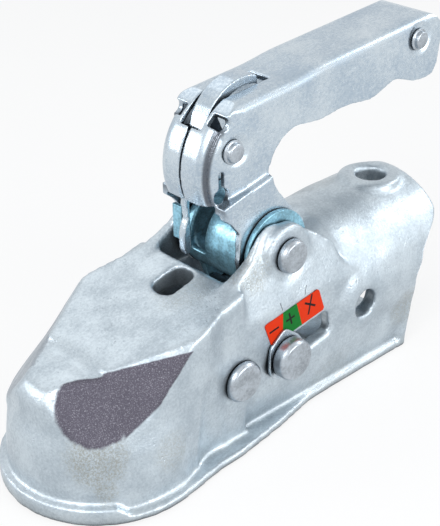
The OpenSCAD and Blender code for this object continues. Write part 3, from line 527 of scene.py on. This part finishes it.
def forging_material():
    c = colours()
    material, nodes, shader, at = new_material("zinc_forging")
    tone = use_group(nodes, "zinc_tone", zinc_tone, Vector=at, Light=c.forging_light,
                     Shade=c.forging_shade, Patch=14.0, Spread=0.17)
    skin = use_group(nodes, "forged_grain", forged_grain, Vector=at, Grain=1.0, Pits=0.9)
    ovals = None
    for side in (-1, 1):
        mask = use_group(nodes, "plane_mask", plane_mask, Vector=at, Distance=SIDE_HEIGHT - 1.0,
                         Direction=side_direction(side), Soft=0.7, Ragged=0.9)["Mask"]
        below = use_group(nodes, "plane_mask", plane_mask, Vector=at, Distance=OVAL_UPPER[1],
                          Direction=mirrored(OVAL_UPPER[0], side), Soft=0.8, Ragged=0.6)["Mask"]
        mask = nodes.math("MULTIPLY", mask, below)
        front = use_group(nodes, "spot_mask", spot_mask, Vector=at, Radius=OVAL_RADIUS * 1.3,
                          Centre=mirrored(OVAL_FRONT, side), Ragged=0.12)
        rest = use_group(nodes, "plane_mask", plane_mask, Vector=at, Soft=3.0, Ragged=1.0,
                         Distance=OVAL_FRONT[0] + OVAL_REST, Direction=(1.0, 0.0, 0.0))
        above = use_group(nodes, "plane_mask", plane_mask, Vector=at, Distance=OVAL_LOWER[1],
                          Direction=mirrored(OVAL_LOWER[0], side), Soft=1.0, Ragged=0.8)
        rest = nodes.math("MULTIPLY", rest["Mask"], above["Mask"])
        ends = nodes.math("MAXIMUM", nodes.ramp(front["Mask"], 0.3, 0.55), rest)
        mask = nodes.math("MULTIPLY", mask, ends)
        if side > 0:
            mask = nodes.math("MULTIPLY", mask, FAR_OVAL)
        ovals = mask if ovals is None else nodes.math("MAXIMUM", ovals, mask)
    grains = nodes.noise(at, 0.55, 3.0, 0.7)
    dark = nodes.mix(nodes.ramp(grains, 0.47, 0.84), c.oval_dark, (0.36, 0.36, 0.41))
    plated = nodes.mix(skin["Pit Mask"], (1, 1, 1), c.forging_shade)
    nodes.tree.links.new(tone["Color"], plated.node.inputs[6])
    specks = nodes.ramp(nodes.noise(at, 0.8, 4.0, 0.75), 0.42, 0.6)
    for centre, radius, amount in DULL_PATCHES:
        spot = use_group(nodes, "spot_mask", spot_mask, Vector=at, Centre=centre, Radius=radius)
        share = nodes.math("MULTIPLY", nodes.math("MULTIPLY", spot["Mask"], specks), amount)
        dusty = nodes.mix(share, (1, 1, 1), c.dust)
        nodes.tree.links.new(plated, dusty.node.inputs[6])
        plated = dusty
    # Darker toward the bottom: below 12.5 mm under the middle the forging turns part way to the
    # dust colour
    foot = use_group(nodes, "plane_mask", plane_mask, Vector=at, Distance=12.5,
                     Direction=(0.0, 0.0, -1.0), Soft=3.0, Ragged=4.0)["Mask"]
    worn = nodes.mix(nodes.math("MULTIPLY", foot, 0.12), (1, 1, 1), c.dust)
    nodes.tree.links.new(plated, worn.node.inputs[6])
    plated = worn
    near_side = nodes.math("LESS_THAN", nodes.add("SeparateXYZ", Vector=at).outputs["Y"], -30.0)
    for place in TICKS:
        tick = nodes.math("MULTIPLY", stroke(nodes, at, *place), near_side)
        scribed = nodes.mix(nodes.math("MULTIPLY", tick, 0.8), (1, 1, 1), (0.10, 0.11, 0.13))
        nodes.tree.links.new(plated, scribed.node.inputs[6])
        plated = scribed
    colour = nodes.mix(ovals, (1, 1, 1), (1, 1, 1))
    nodes.tree.links.new(plated, colour.node.inputs[6])
    nodes.tree.links.new(dark, colour.node.inputs[7])
    # paints shade into the forging's corners, holes and gaps
    nodes.feed(shader, "Base Color", with_painted_shade(nodes, colour, 20.0))
    rough = nodes.math("MULTIPLY_ADD", tone["Mask"], -0.12, 0.44)
    nodes.feed(shader, "Roughness", nodes.math("MULTIPLY_ADD", ovals, 0.15, rough))
    shader.inputs["Metallic"].default_value = 0.85
    coarse = nodes.math("MULTIPLY", nodes.math("MULTIPLY", grains, ovals), 1.5)
    lift = nodes.math("ADD", skin["Height"], coarse)
    flecks = nodes.noise(at, 0.7, 3.0, 0.7)
    lift = nodes.math("ADD", lift, nodes.math("MULTIPLY", flecks, 0.5))
    bump(nodes, shader, lift, 0.15)
    return material


def label_material():
    """Printed scale: red, green and red fields with minus, plus and cross."""
    c = colours()
    material, nodes, shader, at = new_material("label_print")
    u, v = gauge_axes(nodes, at, 0, 0, 0)
    # both borders of the green field lean in toward its top
    right = nodes.math("MULTIPLY_ADD", nodes.math("SUBTRACT", v, 9.5), -0.15, 13.0)
    left = nodes.math("MULTIPLY_ADD", nodes.math("SUBTRACT", v, 9.5), 0.14, 0.0)
    green = nodes.math("MULTIPLY", nodes.math("GREATER_THAN", u, left),
                       nodes.math("LESS_THAN", u, right))
    field = nodes.mix(green, c.label_red, c.label_green)
    signs = None
    for place in SIGNS:
        sign = stroke(nodes, at, *place)
        signs = sign if signs is None else nodes.math("MAXIMUM", signs, sign)
    printed = nodes.mix(signs, (1, 1, 1), (0.012, 0.01, 0.01))
    nodes.tree.links.new(field, printed.node.inputs[6])
    wear = nodes.ramp(nodes.noise(at, 2.0, 5.0, 0.7), 0.66, 0.72)
    worn = nodes.mix(wear, (1, 1, 1), (0.3, 0.2, 0.17))
    nodes.tree.links.new(printed, worn.node.inputs[6])
    nodes.feed(shader, "Base Color", worn)
    nodes.feed(shader, "Roughness", nodes.math("MULTIPLY_ADD", nodes.noise(at, 4.0), 0.2, 0.4))
    shader.inputs["Specular IOR Level"].default_value = 0.08
    bump(nodes, shader, nodes.noise(at, 1.2), 0.01)
    return material


def build_materials():
    c = colours()
    return {
        "zinc_forging": forging_material(),
        "zinc_sheet": zinc_material("zinc_sheet", c.sheet_light, c.sheet_shade, patch=22.0,
                                    grain=0.8, grain_depth=0.03, scratch=0.5, rough=(0.22, 0.34),
                                    groove=True),
        "zinc_pin": zinc_material("zinc_pin", c.pin_light, tuple(x * 0.6 for x in c.pin_light),
                                  patch=7.0, grain=0.6, grain_depth=0.03, rough=(0.28, 0.42)),
        # the inner sheet's painted shade reaches only 6 mm, which keeps the barrel light
        "teal_zinc": zinc_material("teal_zinc", tuple(min(1, x * 2.5) for x in c.teal), c.teal,
                                   patch=9.0, rough=(0.28, 0.4), grain_depth=0.015, reach=6.0,
                                   metallic=0.65),
        "spring_steel": zinc_material("spring_steel", tuple(x * 2.2 for x in c.steel), c.steel,
                                      patch=3.0, rough=(0.25, 0.4), grain_depth=0.01),
        # the claw's painted shade reaches 60 mm, so the claw inside the body is painted dark almost
        # all over
        "claw_steel": zinc_material("claw_steel", c.forging_light, c.forging_shade, patch=8.0,
                                    rough=(0.4, 0.55), grain=1.2, grain_depth=0.08, reach=60.0),
        "label_print": label_material(),
    }


# Mesh building


def new_piece(name, bm, body, slot, materials, replaced=(), smooth=True):
    """Turns a bmesh into a piece that rides on a body and takes a finish."""
    mesh = bpy.data.meshes.new(name)
    bm.to_mesh(mesh)
    bm.free()
    piece = bpy.data.objects.new(name, mesh)
    bpy.context.scene.collection.objects.link(piece)
    piece.data.materials.append(materials[slot])
    if smooth:
        mesh.shade_smooth()
    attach(piece, body)
    if replaced:
        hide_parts(*replaced)
    return piece


def body_of(node):
    for body, nodes in frame["record"]["behaviour"]["bodies"].items():
        if node in nodes:
            return body
    raise RuntimeError("no body carries " + node)


def evaluated_mesh(piece):
    graph = bpy.context.evaluated_depsgraph_get()
    return bpy.data.meshes.new_from_object(piece.evaluated_get(graph))


def step(low, high, value):
    """0 at low, 1 at high, smooth between."""
    share = min(1.0, max(0.0, (value - low) / (high - low)))
    return share * share * (3 - 2 * share)


# Height and X of the forging's rear edge, which slants forward below the tube
REAR_EDGE = ((-17, 175.4), (-9.5, 175.9), (9, 179.5), (25.2, 179.7), (38.2, 182), (46.8, 190),
             (52.5, 198.5))
# X of the dome's middle, and height of the drawbar's axis
DOME_X = 4.5
DRAWBAR_Z = 28
# How often a surface is evened out where a sharp bend is softened
BEND_ROUNDS = 24


def forged_form(at):
    """Flares the dome's foot, crowns the far oval, opens the sight hole, lengthens the tube's
    upper end and slants the rear edge below it."""
    out = Vector((at.x - DOME_X, at.y, 0))
    if out.length > 35:
        flare = step(25, 12, at.z) * step(34, 10, at.x)
        at = at + out.normalized() * flare * (0.8 + 1.0 * max(0.0, -out.normalized().x))
    far = side_direction(1)
    if at.dot(far) > SIDE_HEIGHT - 1.5:
        at = at + far * 1.6 * step(30, 10, (at - far * SIDE_HEIGHT).length)
    if at.z > 42 and 34 < at.x < 62:
        wide = step(14, 4, abs(at.y)) * step(34, 40, at.x) * step(62, 56, at.x)
        at.y += math.copysign(1.5 * wide, at.y)
    tube = Vector((0, at.y, at.z - DRAWBAR_Z))
    if tube.length > 34:
        at = at + tube.normalized() * step(140, 165, at.x) * step(38, 48, at.z)
    at.x += 1.8 * step(182, 198, at.x) * step(50, 57, at.z)
    for (low, short), (high, long) in zip(REAR_EDGE, REAR_EDGE[1:]):
        if low <= at.z < high or (low == REAR_EDGE[0][0] and at.z < low):
            edge = short + (long - short) * max(0.0, (at.z - low) / (high - low))
            at.x = min(at.x, edge - max(0.0, abs(at.y) - 35) * 0.9 * step(36, 24, at.z))
            break
    return at


def handle_form(at):
    """Crowns the grip and draws in the rear edge of the ears."""
    at.z += 1.3 * step(104, 128, at.x) * step(128, 141, at.z)
    if abs(at.y) > 16.5:
        at.x -= 2.4 * step(75, 82, at.z) * step(106, 98, at.z) * step(85, 91, at.x)
    return at


def catch_form(at):
    """Moves the tongue and its plate toward the far side, and shortens them."""
    at.y += 2.2 * step(100, 88, at.z)
    if at.z < 94:
        at.z = 94 - (94 - at.z) * 0.86
    return at


def even_out(bm, verts, times=1):
    for turn in range(times):
        bmesh.ops.smooth_vert(bm, verts=verts, factor=0.5, use_axis_x=True, use_axis_y=True,
                              use_axis_z=True)


def rounded_copy(node, voxel, rounds, keep_sharp=None, wave=0.0, form=None, bends=None,
                 most=190000):
    """A copy of a CAD node on a fine even grid, with its edges rounded.

    keep_sharp and bends say which points are evened out least and most, and form moves each
    point before that.
    """
    bm = bmesh.new()
    bm.from_mesh(frame["nodes"][node].data)
    bmesh.ops.remove_doubles(bm, verts=bm.verts, dist=0.00001)
    bmesh.ops.recalc_face_normals(bm, faces=bm.faces)
    mesh = bpy.data.meshes.new(node + "_copy")
    bm.to_mesh(mesh)
    bm.free()
    piece = bpy.data.objects.new(node + "_copy", mesh)
    bpy.context.scene.collection.objects.link(piece)
    remesh = piece.modifiers.new("grid", "REMESH")
    remesh.mode = "VOXEL"
    remesh.voxel_size = voxel
    remesh.adaptivity = 0.0
    fine = evaluated_mesh(piece)
    piece.modifiers.clear()
    piece.data = fine
    bpy.data.meshes.remove(mesh)
    bm = bmesh.new()
    bm.from_mesh(fine)
    bm.verts.ensure_lookup_table()
    if form:
        for v in bm.verts:
            v.co = form(v.co / MM) * MM
    soft = [v for v in bm.verts if keep_sharp is None or not keep_sharp(v.co / MM)]
    even_out(bm, soft, rounds)
    edge = [v for v in bm.verts if keep_sharp is not None and keep_sharp(v.co / MM)]
    even_out(bm, edge)
    bent = [v for v in bm.verts if bends is not None and bends(v.co / MM)]
    even_out(bm, bent, BEND_ROUNDS)
    bm.normal_update()
    if wave:
        for v in soft:
            v.co += v.normal * wave * noise.noise(v.co / (7 * MM))
    bm.to_mesh(fine)
    count = sum(len(f.verts) - 2 for f in bm.faces)
    bm.free()
    if count > most:
        thin = piece.modifiers.new("thin", "DECIMATE")
        thin.ratio = most / count
        lighter = evaluated_mesh(piece)
        piece.modifiers.clear()
        piece.data = lighter
        bpy.data.meshes.remove(fine)
    bm = bmesh.new()
    bm.from_mesh(piece.data)
    used = piece.data
    bpy.data.objects.remove(piece)
    bpy.data.meshes.remove(used)
    return bm


# Operators, one for each piece or group of like pieces

MATERIALS = {}

# The photograph's camera: azimuth, elevation and roll in degrees, the point looked at, and the
# shift of the picture's middle in parts of its longer side
VIEW_ANGLES = (-42.8, 29.3, -1.0)
VIEW_TARGET = (0.0849, 0.0071, 0.0483)
VIEW_SHIFT = (-1.7 / 526, 5.4 / 526)
# Name, place, size, watts and colour of each lamp, and the point that they face
LAMPS = (
    ("key", (-0.7, -0.35, 0.75), (0.5, 0.5), 5.5, (1.0, 1.0, 1.0)),
    ("side", (0.35, -1.0, 0.35), (0.6, 0.5), 5.5, (1.0, 1.0, 1.0)),
    ("top", (1.05, -0.38, 0.65), (0.35, 0.35), 3.2, (0.96, 0.98, 1.0)),
    ("rim", (-0.8, 0.65, 0.42), (0.5, 0.3), 3.6, (1.0, 1.0, 1.0)),
    ("back", (0.25, 0.75, 0.85), (0.6, 0.6), 0.8, (1.0, 1.0, 1.0)),
)
LAMP_AIM = (0.08, 0, 0.05)


def add_lamp(name, place, size, watts, colour):
    data = bpy.data.lights.new(name, "AREA")
    data.shape = "RECTANGLE"
    data.size, data.size_y = size
    data.energy = watts
    data.color = colour
    lamp = bpy.data.objects.new(name, data)
    bpy.context.scene.collection.objects.link(lamp)
    aim = (Vector(LAMP_AIM) - Vector(place)).to_track_quat("-Z", "Y")
    lamp.matrix_world = Matrix.Translation(place) @ aim.to_matrix().to_4x4()


def finish_nodes():
    """Gives every CAD node that stays the finish of its slot."""
    for part in frame["record"]["subparts"]:
        node = frame["nodes"][part["node"]]
        material = MATERIALS[part["material_slot"]]
        if node.material_slots:
            for slot in node.material_slots:
                slot.link = "OBJECT"
                slot.material = material
        else:
            node.data.materials.append(material)


class COUPLING_OT_stage(Operator):
    """Makes the camera, floor, lamps and world"""

    bl_idname = "coupling.stage"
    bl_label = "Stage"

    def execute(self, context):
        s = sizes()
        scene = context.scene
        turn, rise, roll = (math.radians(a) for a in VIEW_ANGLES)
        back = Vector((math.sin(turn) * math.cos(rise), -math.cos(turn) * math.cos(rise),
                       math.sin(rise)))
        level = Vector((math.cos(turn), math.sin(turn), 0))
        upright = back.cross(level)
        right = math.cos(roll) * level + math.sin(roll) * upright
        up = -math.sin(roll) * level + math.cos(roll) * upright
        camera = bpy.data.cameras.new("camera")
        camera.lens = s.view_lens
        camera.sensor_width = 36.0
        camera.shift_x, camera.shift_y = VIEW_SHIFT
        camera.clip_start = 0.01
        holder = bpy.data.objects.new("camera", camera)
        scene.collection.objects.link(holder)
        place = Vector(VIEW_TARGET) + back * s.view_distance
        axes = Matrix((right, up, back)).transposed().to_4x4()
        holder.matrix_world = Matrix.Translation(place) @ axes
        scene.camera = holder
        scene.view_settings.view_transform = "Standard"

        bm = bmesh.new()
        bmesh.ops.create_grid(bm, x_segments=1, y_segments=1, size=s.floor_size / 2,
                              matrix=Matrix.Translation((0, 0, CAD_BOX[0][2])))
        mesh = bpy.data.meshes.new("floor")
        bm.to_mesh(mesh)
        bm.free()
        floor = bpy.data.objects.new("floor", mesh)
        scene.collection.objects.link(floor)
        material, nodes, shader, _ = new_material("floor")
        nodes.feed(shader, "Base Color", (0.92, 0.92, 0.92, 1))
        shader.inputs["Roughness"].default_value = 0.9
        glow = nodes.add("Emission", Color=(1, 1, 1, 1), Strength=1.0)
        path = nodes.add("LightPath")
        seen = nodes.math("MAXIMUM", path.outputs["Is Camera Ray"], path.outputs["Is Glossy Ray"])
        blend = nodes.add("MixShader")
        nodes.tree.links.new(nodes.math("MULTIPLY", seen, 0.8), blend.inputs[0])
        nodes.tree.links.new(shader.outputs["BSDF"], blend.inputs[1])
        nodes.tree.links.new(glow.outputs["Emission"], blend.inputs[2])
        nodes.tree.links.new(blend.outputs["Shader"],
                             material.node_tree.nodes["Material Output"].inputs["Surface"])
        mesh.materials.append(material)

        for lamp in LAMPS:
            add_lamp(*lamp)

        world = bpy.data.worlds.new("studio")
        world.use_nodes = True
        scene.world = world
        sky = Nodes(world.node_tree)
        path = sky.add("LightPath")
        seen = sky.math("MAXIMUM", path.outputs["Is Camera Ray"],
                        path.outputs["Is Transmission Ray"])
        seen = sky.math("MAXIMUM", seen, path.outputs["Is Glossy Ray"])
        background = world.node_tree.nodes["Background"]
        sky.feed(background, "Color", sky.mix(seen, (0.80, 0.86, 0.92), (1, 1, 1)))
        sky.feed(background, "Strength", sky.math("MULTIPLY_ADD", seen, 0.55, 0.45))
        return {"FINISHED"}


class COUPLING_OT_finishes(Operator):
    """Builds the finishes and gives them to the CAD nodes"""

    bl_idname = "coupling.finishes"
    bl_label = "Finishes"

    def execute(self, context):
        MATERIALS.update(build_materials())
        finish_nodes()
        return {"FINISHED"}


class COUPLING_OT_forging(Operator):
    """Makes the forged body with rounded edges and an uneven skin"""

    bl_idname = "coupling.forging"
    bl_label = "Forged body"

    def execute(self, context):
        s = sizes()
        holes = []
        for pin, room in (("main_pin", 2.5), ("front_pin", 1.5)):
            middle = node_middle(pin)
            holes.append((middle.x, middle.z, PINS[pin][0] + room))

        def near_hole(at):
            return any((at.x - x) ** 2 + (at.z - z) ** 2 < r * r for x, z, r in holes)

        def nose_top(at):
            inside = max(at.dot(side_direction(side)) for side in (-1, 1)) < SIDE_HEIGHT - 2.5
            return inside and -26 < at.x < 14 and at.z > 42 and abs(at.y) < 22

        bm = rounded_copy("body_shell", s.forging_voxel, s.forging_rounds, near_hole,
                          s.forging_wave, forged_form, nose_top)
        new_piece("forged_body", bm, body_of("body_shell"), "zinc_forging", MATERIALS,
                  ["body_shell"])
        return {"FINISHED"}


class COUPLING_OT_handle(Operator):
    """Makes the folded handle with soft folds and pressed edges"""

    bl_idname = "coupling.handle"
    bl_label = "Folded handle"

    def execute(self, context):
        s = sizes()

        def joggle(at):
            return abs(at.y) > 15.5 and 78 < at.x < 97 and 90 < at.z < 108

        bm = rounded_copy("handle", s.sheet_voxel, 4, form=handle_form, bends=joggle)
        new_piece("folded_handle", bm, body_of("handle"), "zinc_sheet", MATERIALS, ["handle"])
        return {"FINISHED"}


def softened(points, radius, closed=False):
    """An outline of (radius, y) points with its corners rounded."""
    steps = 3
    count = len(points)
    result = []
    for i, point in enumerate(points):
        here = Vector(point)
        if not closed and i in (0, count - 1):
            result.append(here)
            continue
        before, after = Vector(points[i - 1]) - here, Vector(points[(i + 1) % count]) - here
        reach = min(radius, before.length * 0.45, after.length * 0.45)
        a, b = here + before.normalized() * reach, here + after.normalized() * reach
        for k in range(steps + 1):
            t = k / steps
            result.append(a * (1 - t) ** 2 + here * 2 * t * (1 - t) + b * t * t)
    return result


def spun(points, x, z, closed=False, steps=64):
    """A piece turned about an axis along Y from an outline of (radius, y) points."""
    bm = bmesh.new()
    verts = [bm.verts.new(Vector((x + r, y, z)) * MM) for r, y in points]
    pairs = list(zip(verts, verts[1:])) + ([(verts[-1], verts[0])] if closed else [])
    edges = [bm.edges.new(pair) for pair in pairs]
    bmesh.ops.spin(bm, geom=verts + edges, cent=Vector((x, 0, z)) * MM, axis=(0, 1, 0),
                   dvec=(0, 0, 0), angle=math.tau, steps=steps, use_merge=True)
    bmesh.ops.remove_doubles(bm, verts=bm.verts, dist=0.000002)
    bmesh.ops.recalc_face_normals(bm, faces=bm.faces)
    return bm


# Shaft radius and head height of each pin and rivet
PINS = {"main_pin": (6.0, 4.8), "front_pin": (6.0, 4.2), "indicator_pin": (6.2, 7.2)}
RIVETS = {"latch_rivet": (3.4, 1.8), "end_rivet": (3.1, 1.8)}
# Radius of the bore, and finish, of each turned ring
RINGS = {"indicator_ring": (6.25, "zinc_pin"), "end_spacer": (3.15, "zinc_sheet")}
# Radius of the washers' bore, and distance of their inner faces from the middle plane
WASHER_BORE = 6.08
WASHER_INNER = 20.85
# Diameter of the wire and number of turns of each spring
SPRINGS = {"return_spring": (2.0, 8), "latch_spring": (1.4, 4)}
# Where the pointer plate's front edge starts and ends its bend, along the scale, and its rise
PLATE_BEND = (-9.4, -10.8)
PLATE_RISE = 1.1


class COUPLING_OT_pins(Operator):
    """Turns the headed pins with soft edges"""

    bl_idname = "coupling.pins"
    bl_label = "Pins"

    def execute(self, context):
        for node, (shaft, head_h) in PINS.items():
            low, high = node_box(node)
            head = (high.x - low.x) / 2
            face, seat = low.y, low.y + head_h
            points = [(0, face), (head - 1.5, face + 0.05), (head - 1.0, face + 0.35),
                      (head - 0.2, face + 1.5), (head, face + 2.3), (head, seat - 0.9),
                      (head - 0.7, seat), (shaft, seat), (shaft, high.y - 0.8),
                      (shaft - 0.8, high.y), (0, high.y)]
            middle = (low + high) / 2
            bm = spun(softened(points, 0.35), middle.x, middle.z)
            new_piece(node + "_turned", bm, body_of(node), "zinc_pin", MATERIALS, [node])
        return {"FINISHED"}


class COUPLING_OT_rivets(Operator):
    """Makes the rivets with headed ends"""

    bl_idname = "coupling.rivets"
    bl_label = "Rivets"

    def execute(self, context):
        for node, (shaft, head_h) in RIVETS.items():
            low, high = node_box(node)
            head = (high.x - low.x) / 2
            near = [(0, low.y), (head * 0.5, low.y + 0.1), (head * 0.85, low.y + 0.45),
                    (head, low.y + 1.1), (head, low.y + head_h), (shaft, low.y + head_h)]
            far = [(r, high.y + low.y - y) for r, y in reversed(near)]
            near = [(0, low.y - 1.6), (head - 1.1, low.y - 1.55), (head - 0.5, low.y - 1.2),
                    (head - 0.3, low.y + 0.5), (head + 0.7, low.y + 0.7),
                    (head + 0.7, low.y + head_h - 0.2), (head, low.y + head_h),
                    (shaft, low.y + head_h)]
            middle = (low + high) / 2
            bm = spun(softened(near + far, 0.3), middle.x, middle.z, steps=48)
            new_piece(node + "_headed", bm, body_of(node), "zinc_pin", MATERIALS, [node])
        return {"FINISHED"}


class COUPLING_OT_rings(Operator):
    """Makes the washers, spacer, crank pin and retaining rings"""

    bl_idname = "coupling.rings"
    bl_label = "Washers and rings"

    def execute(self, context):
        for node, (bore, slot) in RINGS.items():
            low, high = node_box(node)
            outer = (high.x - low.x) / 2
            loop = [(bore, low.y), (outer, low.y), (outer, high.y), (bore, high.y)]
            bm = spun(softened(loop, 0.35, True), (low.x + high.x) / 2, (low.z + high.z) / 2, True)
            new_piece(node + "_turned", bm, body_of(node), slot, MATERIALS, [node])
        low, high = node_box("side_washers")
        outer = (high.x - low.x) / 2
        both = bmesh.new()
        for side in (-1, 1):
            inner_y, outer_y = sorted((side * WASHER_INNER, side * high.y))
            loop = [(WASHER_BORE, inner_y), (outer, inner_y), (outer, outer_y),
                    (WASHER_BORE, outer_y)]
            bm = spun(softened(loop, 0.6, True), (low.x + high.x) / 2, (low.z + high.z) / 2, True)
            mesh = bpy.data.meshes.new("washer")
            bm.to_mesh(mesh)
            bm.free()
            both.from_mesh(mesh)
            bpy.data.meshes.remove(mesh)
        new_piece("washers_turned", both, body_of("side_washers"), "teal_zinc", MATERIALS,
                  ["side_washers"])
        low, high = node_box("crank_pin")
        radius = (high.x - low.x) / 2
        bar = [(0, low.y), (radius, low.y), (radius, high.y), (0, high.y)]
        bm = spun(softened(bar, 0.7), (low.x + high.x) / 2, (low.z + high.z) / 2, steps=40)
        new_piece("crank_pin_turned", bm, body_of("crank_pin"), "zinc_pin", MATERIALS,
                  ["crank_pin"])
        for node in ("main_pin_ring", "front_pin_ring"):
            bm = rounded_copy(node, 0.3 * MM, 2)
            new_piece(node + "_rounded", bm, body_of(node), "spring_steel", MATERIALS, [node])
        return {"FINISHED"}


class COUPLING_OT_springs(Operator):
    """Winds the two torsion springs"""

    bl_idname = "coupling.springs"
    bl_label = "Springs"

    def execute(self, context):
        for node, (wire, turns) in SPRINGS.items():
            low, high = node_box(node)
            middle = (low + high) / 2
            mean = (high.x - low.x) / 2 - wire / 2
            start, end = low.y + wire / 2, high.y - wire / 2
            bm = bmesh.new()
            turned = Matrix.Translation(Vector((middle.x + mean, start, middle.z)) * MM)
            bmesh.ops.create_circle(bm, cap_ends=False, segments=12, radius=wire / 2 * MM,
                                    matrix=turned)
            steps = 32 * turns
            bmesh.ops.spin(bm, geom=bm.verts[:] + bm.edges[:], cent=middle * MM, axis=(0, -1, 0),
                           dvec=Vector((0, (end - start) / steps, 0)) * MM,
                           angle=math.tau * turns, steps=steps, use_merge=False)
            bmesh.ops.holes_fill(bm, edges=[e for e in bm.edges if e.is_boundary], sides=0)
            bmesh.ops.recalc_face_normals(bm, faces=bm.faces)
            new_piece(node + "_wound", bm, body_of(node), "spring_steel", MATERIALS, [node])
        return {"FINISHED"}


class COUPLING_OT_inner_sheet(Operator):
    """Rounds the cam barrel, latch, catch plate and claw"""

    bl_idname = "coupling.inner_sheet"
    bl_label = "Barrel, latch and claw"

    def execute(self, context):
        for node, name, voxel, rounds, slot in (
                ("cam_barrel", "cam_barrel_folded", 0.65, 2, "teal_zinc"),
                ("latch", "latch_pressed", 0.5, 2, "zinc_sheet"),
                ("catch_plate", "catch_plate_pressed", 0.35, 2, "teal_zinc"),
                ("claw", "claw_forged", 0.9, 4, "claw_steel")):
            form = catch_form if node in ("latch", "catch_plate") else None
            bm = rounded_copy(node, voxel * MM, rounds, form=form)
            new_piece(name, bm, body_of(node), slot, MATERIALS, [node])
        return {"FINISHED"}


class COUPLING_OT_pointer(Operator):
    """Makes the pointer plate with its turned-up front edge"""

    bl_idname = "coupling.pointer"
    bl_label = "Pointer plate"

    def execute(self, context):
        low, high = node_box("pointer_plate")
        cos, sin = math.cos(SLIDE_TILT), math.sin(SLIDE_TILT)
        outline = ((-12.3, -4), (-9.5, -7.8), (-6, -10), (6, -10), (10.5, -6.5), (11, 3),
                   (8.6, 7.5), (2.5, 14), (0, 14.6), (-9, 9.5), (-10.8, 5.5), (-12.8, 0))
        bm = bmesh.new()
        verts = [bm.verts.new(Vector((GAUGE_X + u * cos - v * sin, high.y,
                                      GAUGE_Z + u * sin + v * cos)) * MM) for u, v in outline]
        bm.faces.new(verts)
        bmesh.ops.bevel(bm, geom=bm.verts[:], offset=1.2 * MM, offset_type="OFFSET", segments=3,
                        profile=0.5, affect="VERTICES", material=-1)
        made = bmesh.ops.extrude_face_region(bm, geom=bm.faces[:])
        top = [g for g in made["geom"] if isinstance(g, bmesh.types.BMVert)]
        bmesh.ops.translate(bm, verts=top, vec=Vector((0, low.y - high.y, 0)) * MM)
        bmesh.ops.recalc_face_normals(bm, faces=bm.faces)
        rims = [e for e in bm.edges if len(e.link_faces) == 2 and e.calc_face_angle() > 0.9]
        bmesh.ops.bevel(bm, geom=rims, offset=0.35 * MM, offset_type="OFFSET", segments=2,
                        profile=0.5, affect="EDGES", material=-1)
        bmesh.ops.triangulate(bm, faces=[f for f in bm.faces if len(f.verts) > 4])
        for cut in range(2):
            for u in reversed(PLATE_BEND):
                place = Vector((GAUGE_X + u * cos, 0, GAUGE_Z + u * sin)) * MM
                bmesh.ops.bisect_plane(bm, geom=bm.verts[:] + bm.edges[:] + bm.faces[:], dist=1e-7,
                                       plane_co=place, plane_no=(cos, 0, sin))
        for v in bm.verts:
            u = (v.co.x / MM - GAUGE_X) * cos + (v.co.z / MM - GAUGE_Z) * sin
            v.co.y -= PLATE_RISE * MM * min(1.0, max(0.0, (PLATE_BEND[0] - u) / 2.6)) ** 1.3
        new_piece("pointer_pressed", bm, body_of("pointer_plate"), "zinc_sheet", MATERIALS,
                  ["pointer_plate"], smooth=False)
        return {"FINISHED"}


class COUPLING_PT_panel(Panel):
    """Lists the pieces of the coupling head and its settings"""

    bl_idname = "COUPLING_PT_panel"
    bl_label = "Coupling head"
    bl_space_type = "VIEW_3D"
    bl_region_type = "UI"
    bl_category = "Coupling"

    def draw(self, context):
        for operator in STEPS:
            self.layout.operator(operator.bl_idname)
        for settings in (context.scene.coupling_sizes, context.scene.coupling_colours):
            box = self.layout.box()
            for name in settings.__annotations__:
                box.prop(settings, name)


STEPS = (
    COUPLING_OT_stage,
    COUPLING_OT_finishes,
    COUPLING_OT_forging,
    COUPLING_OT_handle,
    COUPLING_OT_inner_sheet,
    COUPLING_OT_pins,
    COUPLING_OT_rivets,
    COUPLING_OT_rings,
    COUPLING_OT_springs,
    COUPLING_OT_pointer,
)
CLASSES = (CouplingSizes, CouplingColours) + STEPS + (COUPLING_PT_panel,)


def register():
    for cls in CLASSES:
        bpy.utils.register_class(cls)
    bpy.types.Scene.coupling_sizes = PointerProperty(type=CouplingSizes)
    bpy.types.Scene.coupling_colours = PointerProperty(type=CouplingColours)


def unregister():
    del bpy.types.Scene.coupling_colours
    del bpy.types.Scene.coupling_sizes
    for cls in reversed(CLASSES):
        bpy.utils.unregister_class(cls)


def main():
    register()
    bpy.ops.coupling.stage()
    bpy.ops.coupling.finishes()
    bpy.ops.coupling.forging()
    bpy.ops.coupling.handle()
    bpy.ops.coupling.inner_sheet()
    bpy.ops.coupling.pins()
    bpy.ops.coupling.rivets()
    bpy.ops.coupling.rings()
    bpy.ops.coupling.springs()
    bpy.ops.coupling.pointer()


if __name__ == "__main__":
    main()
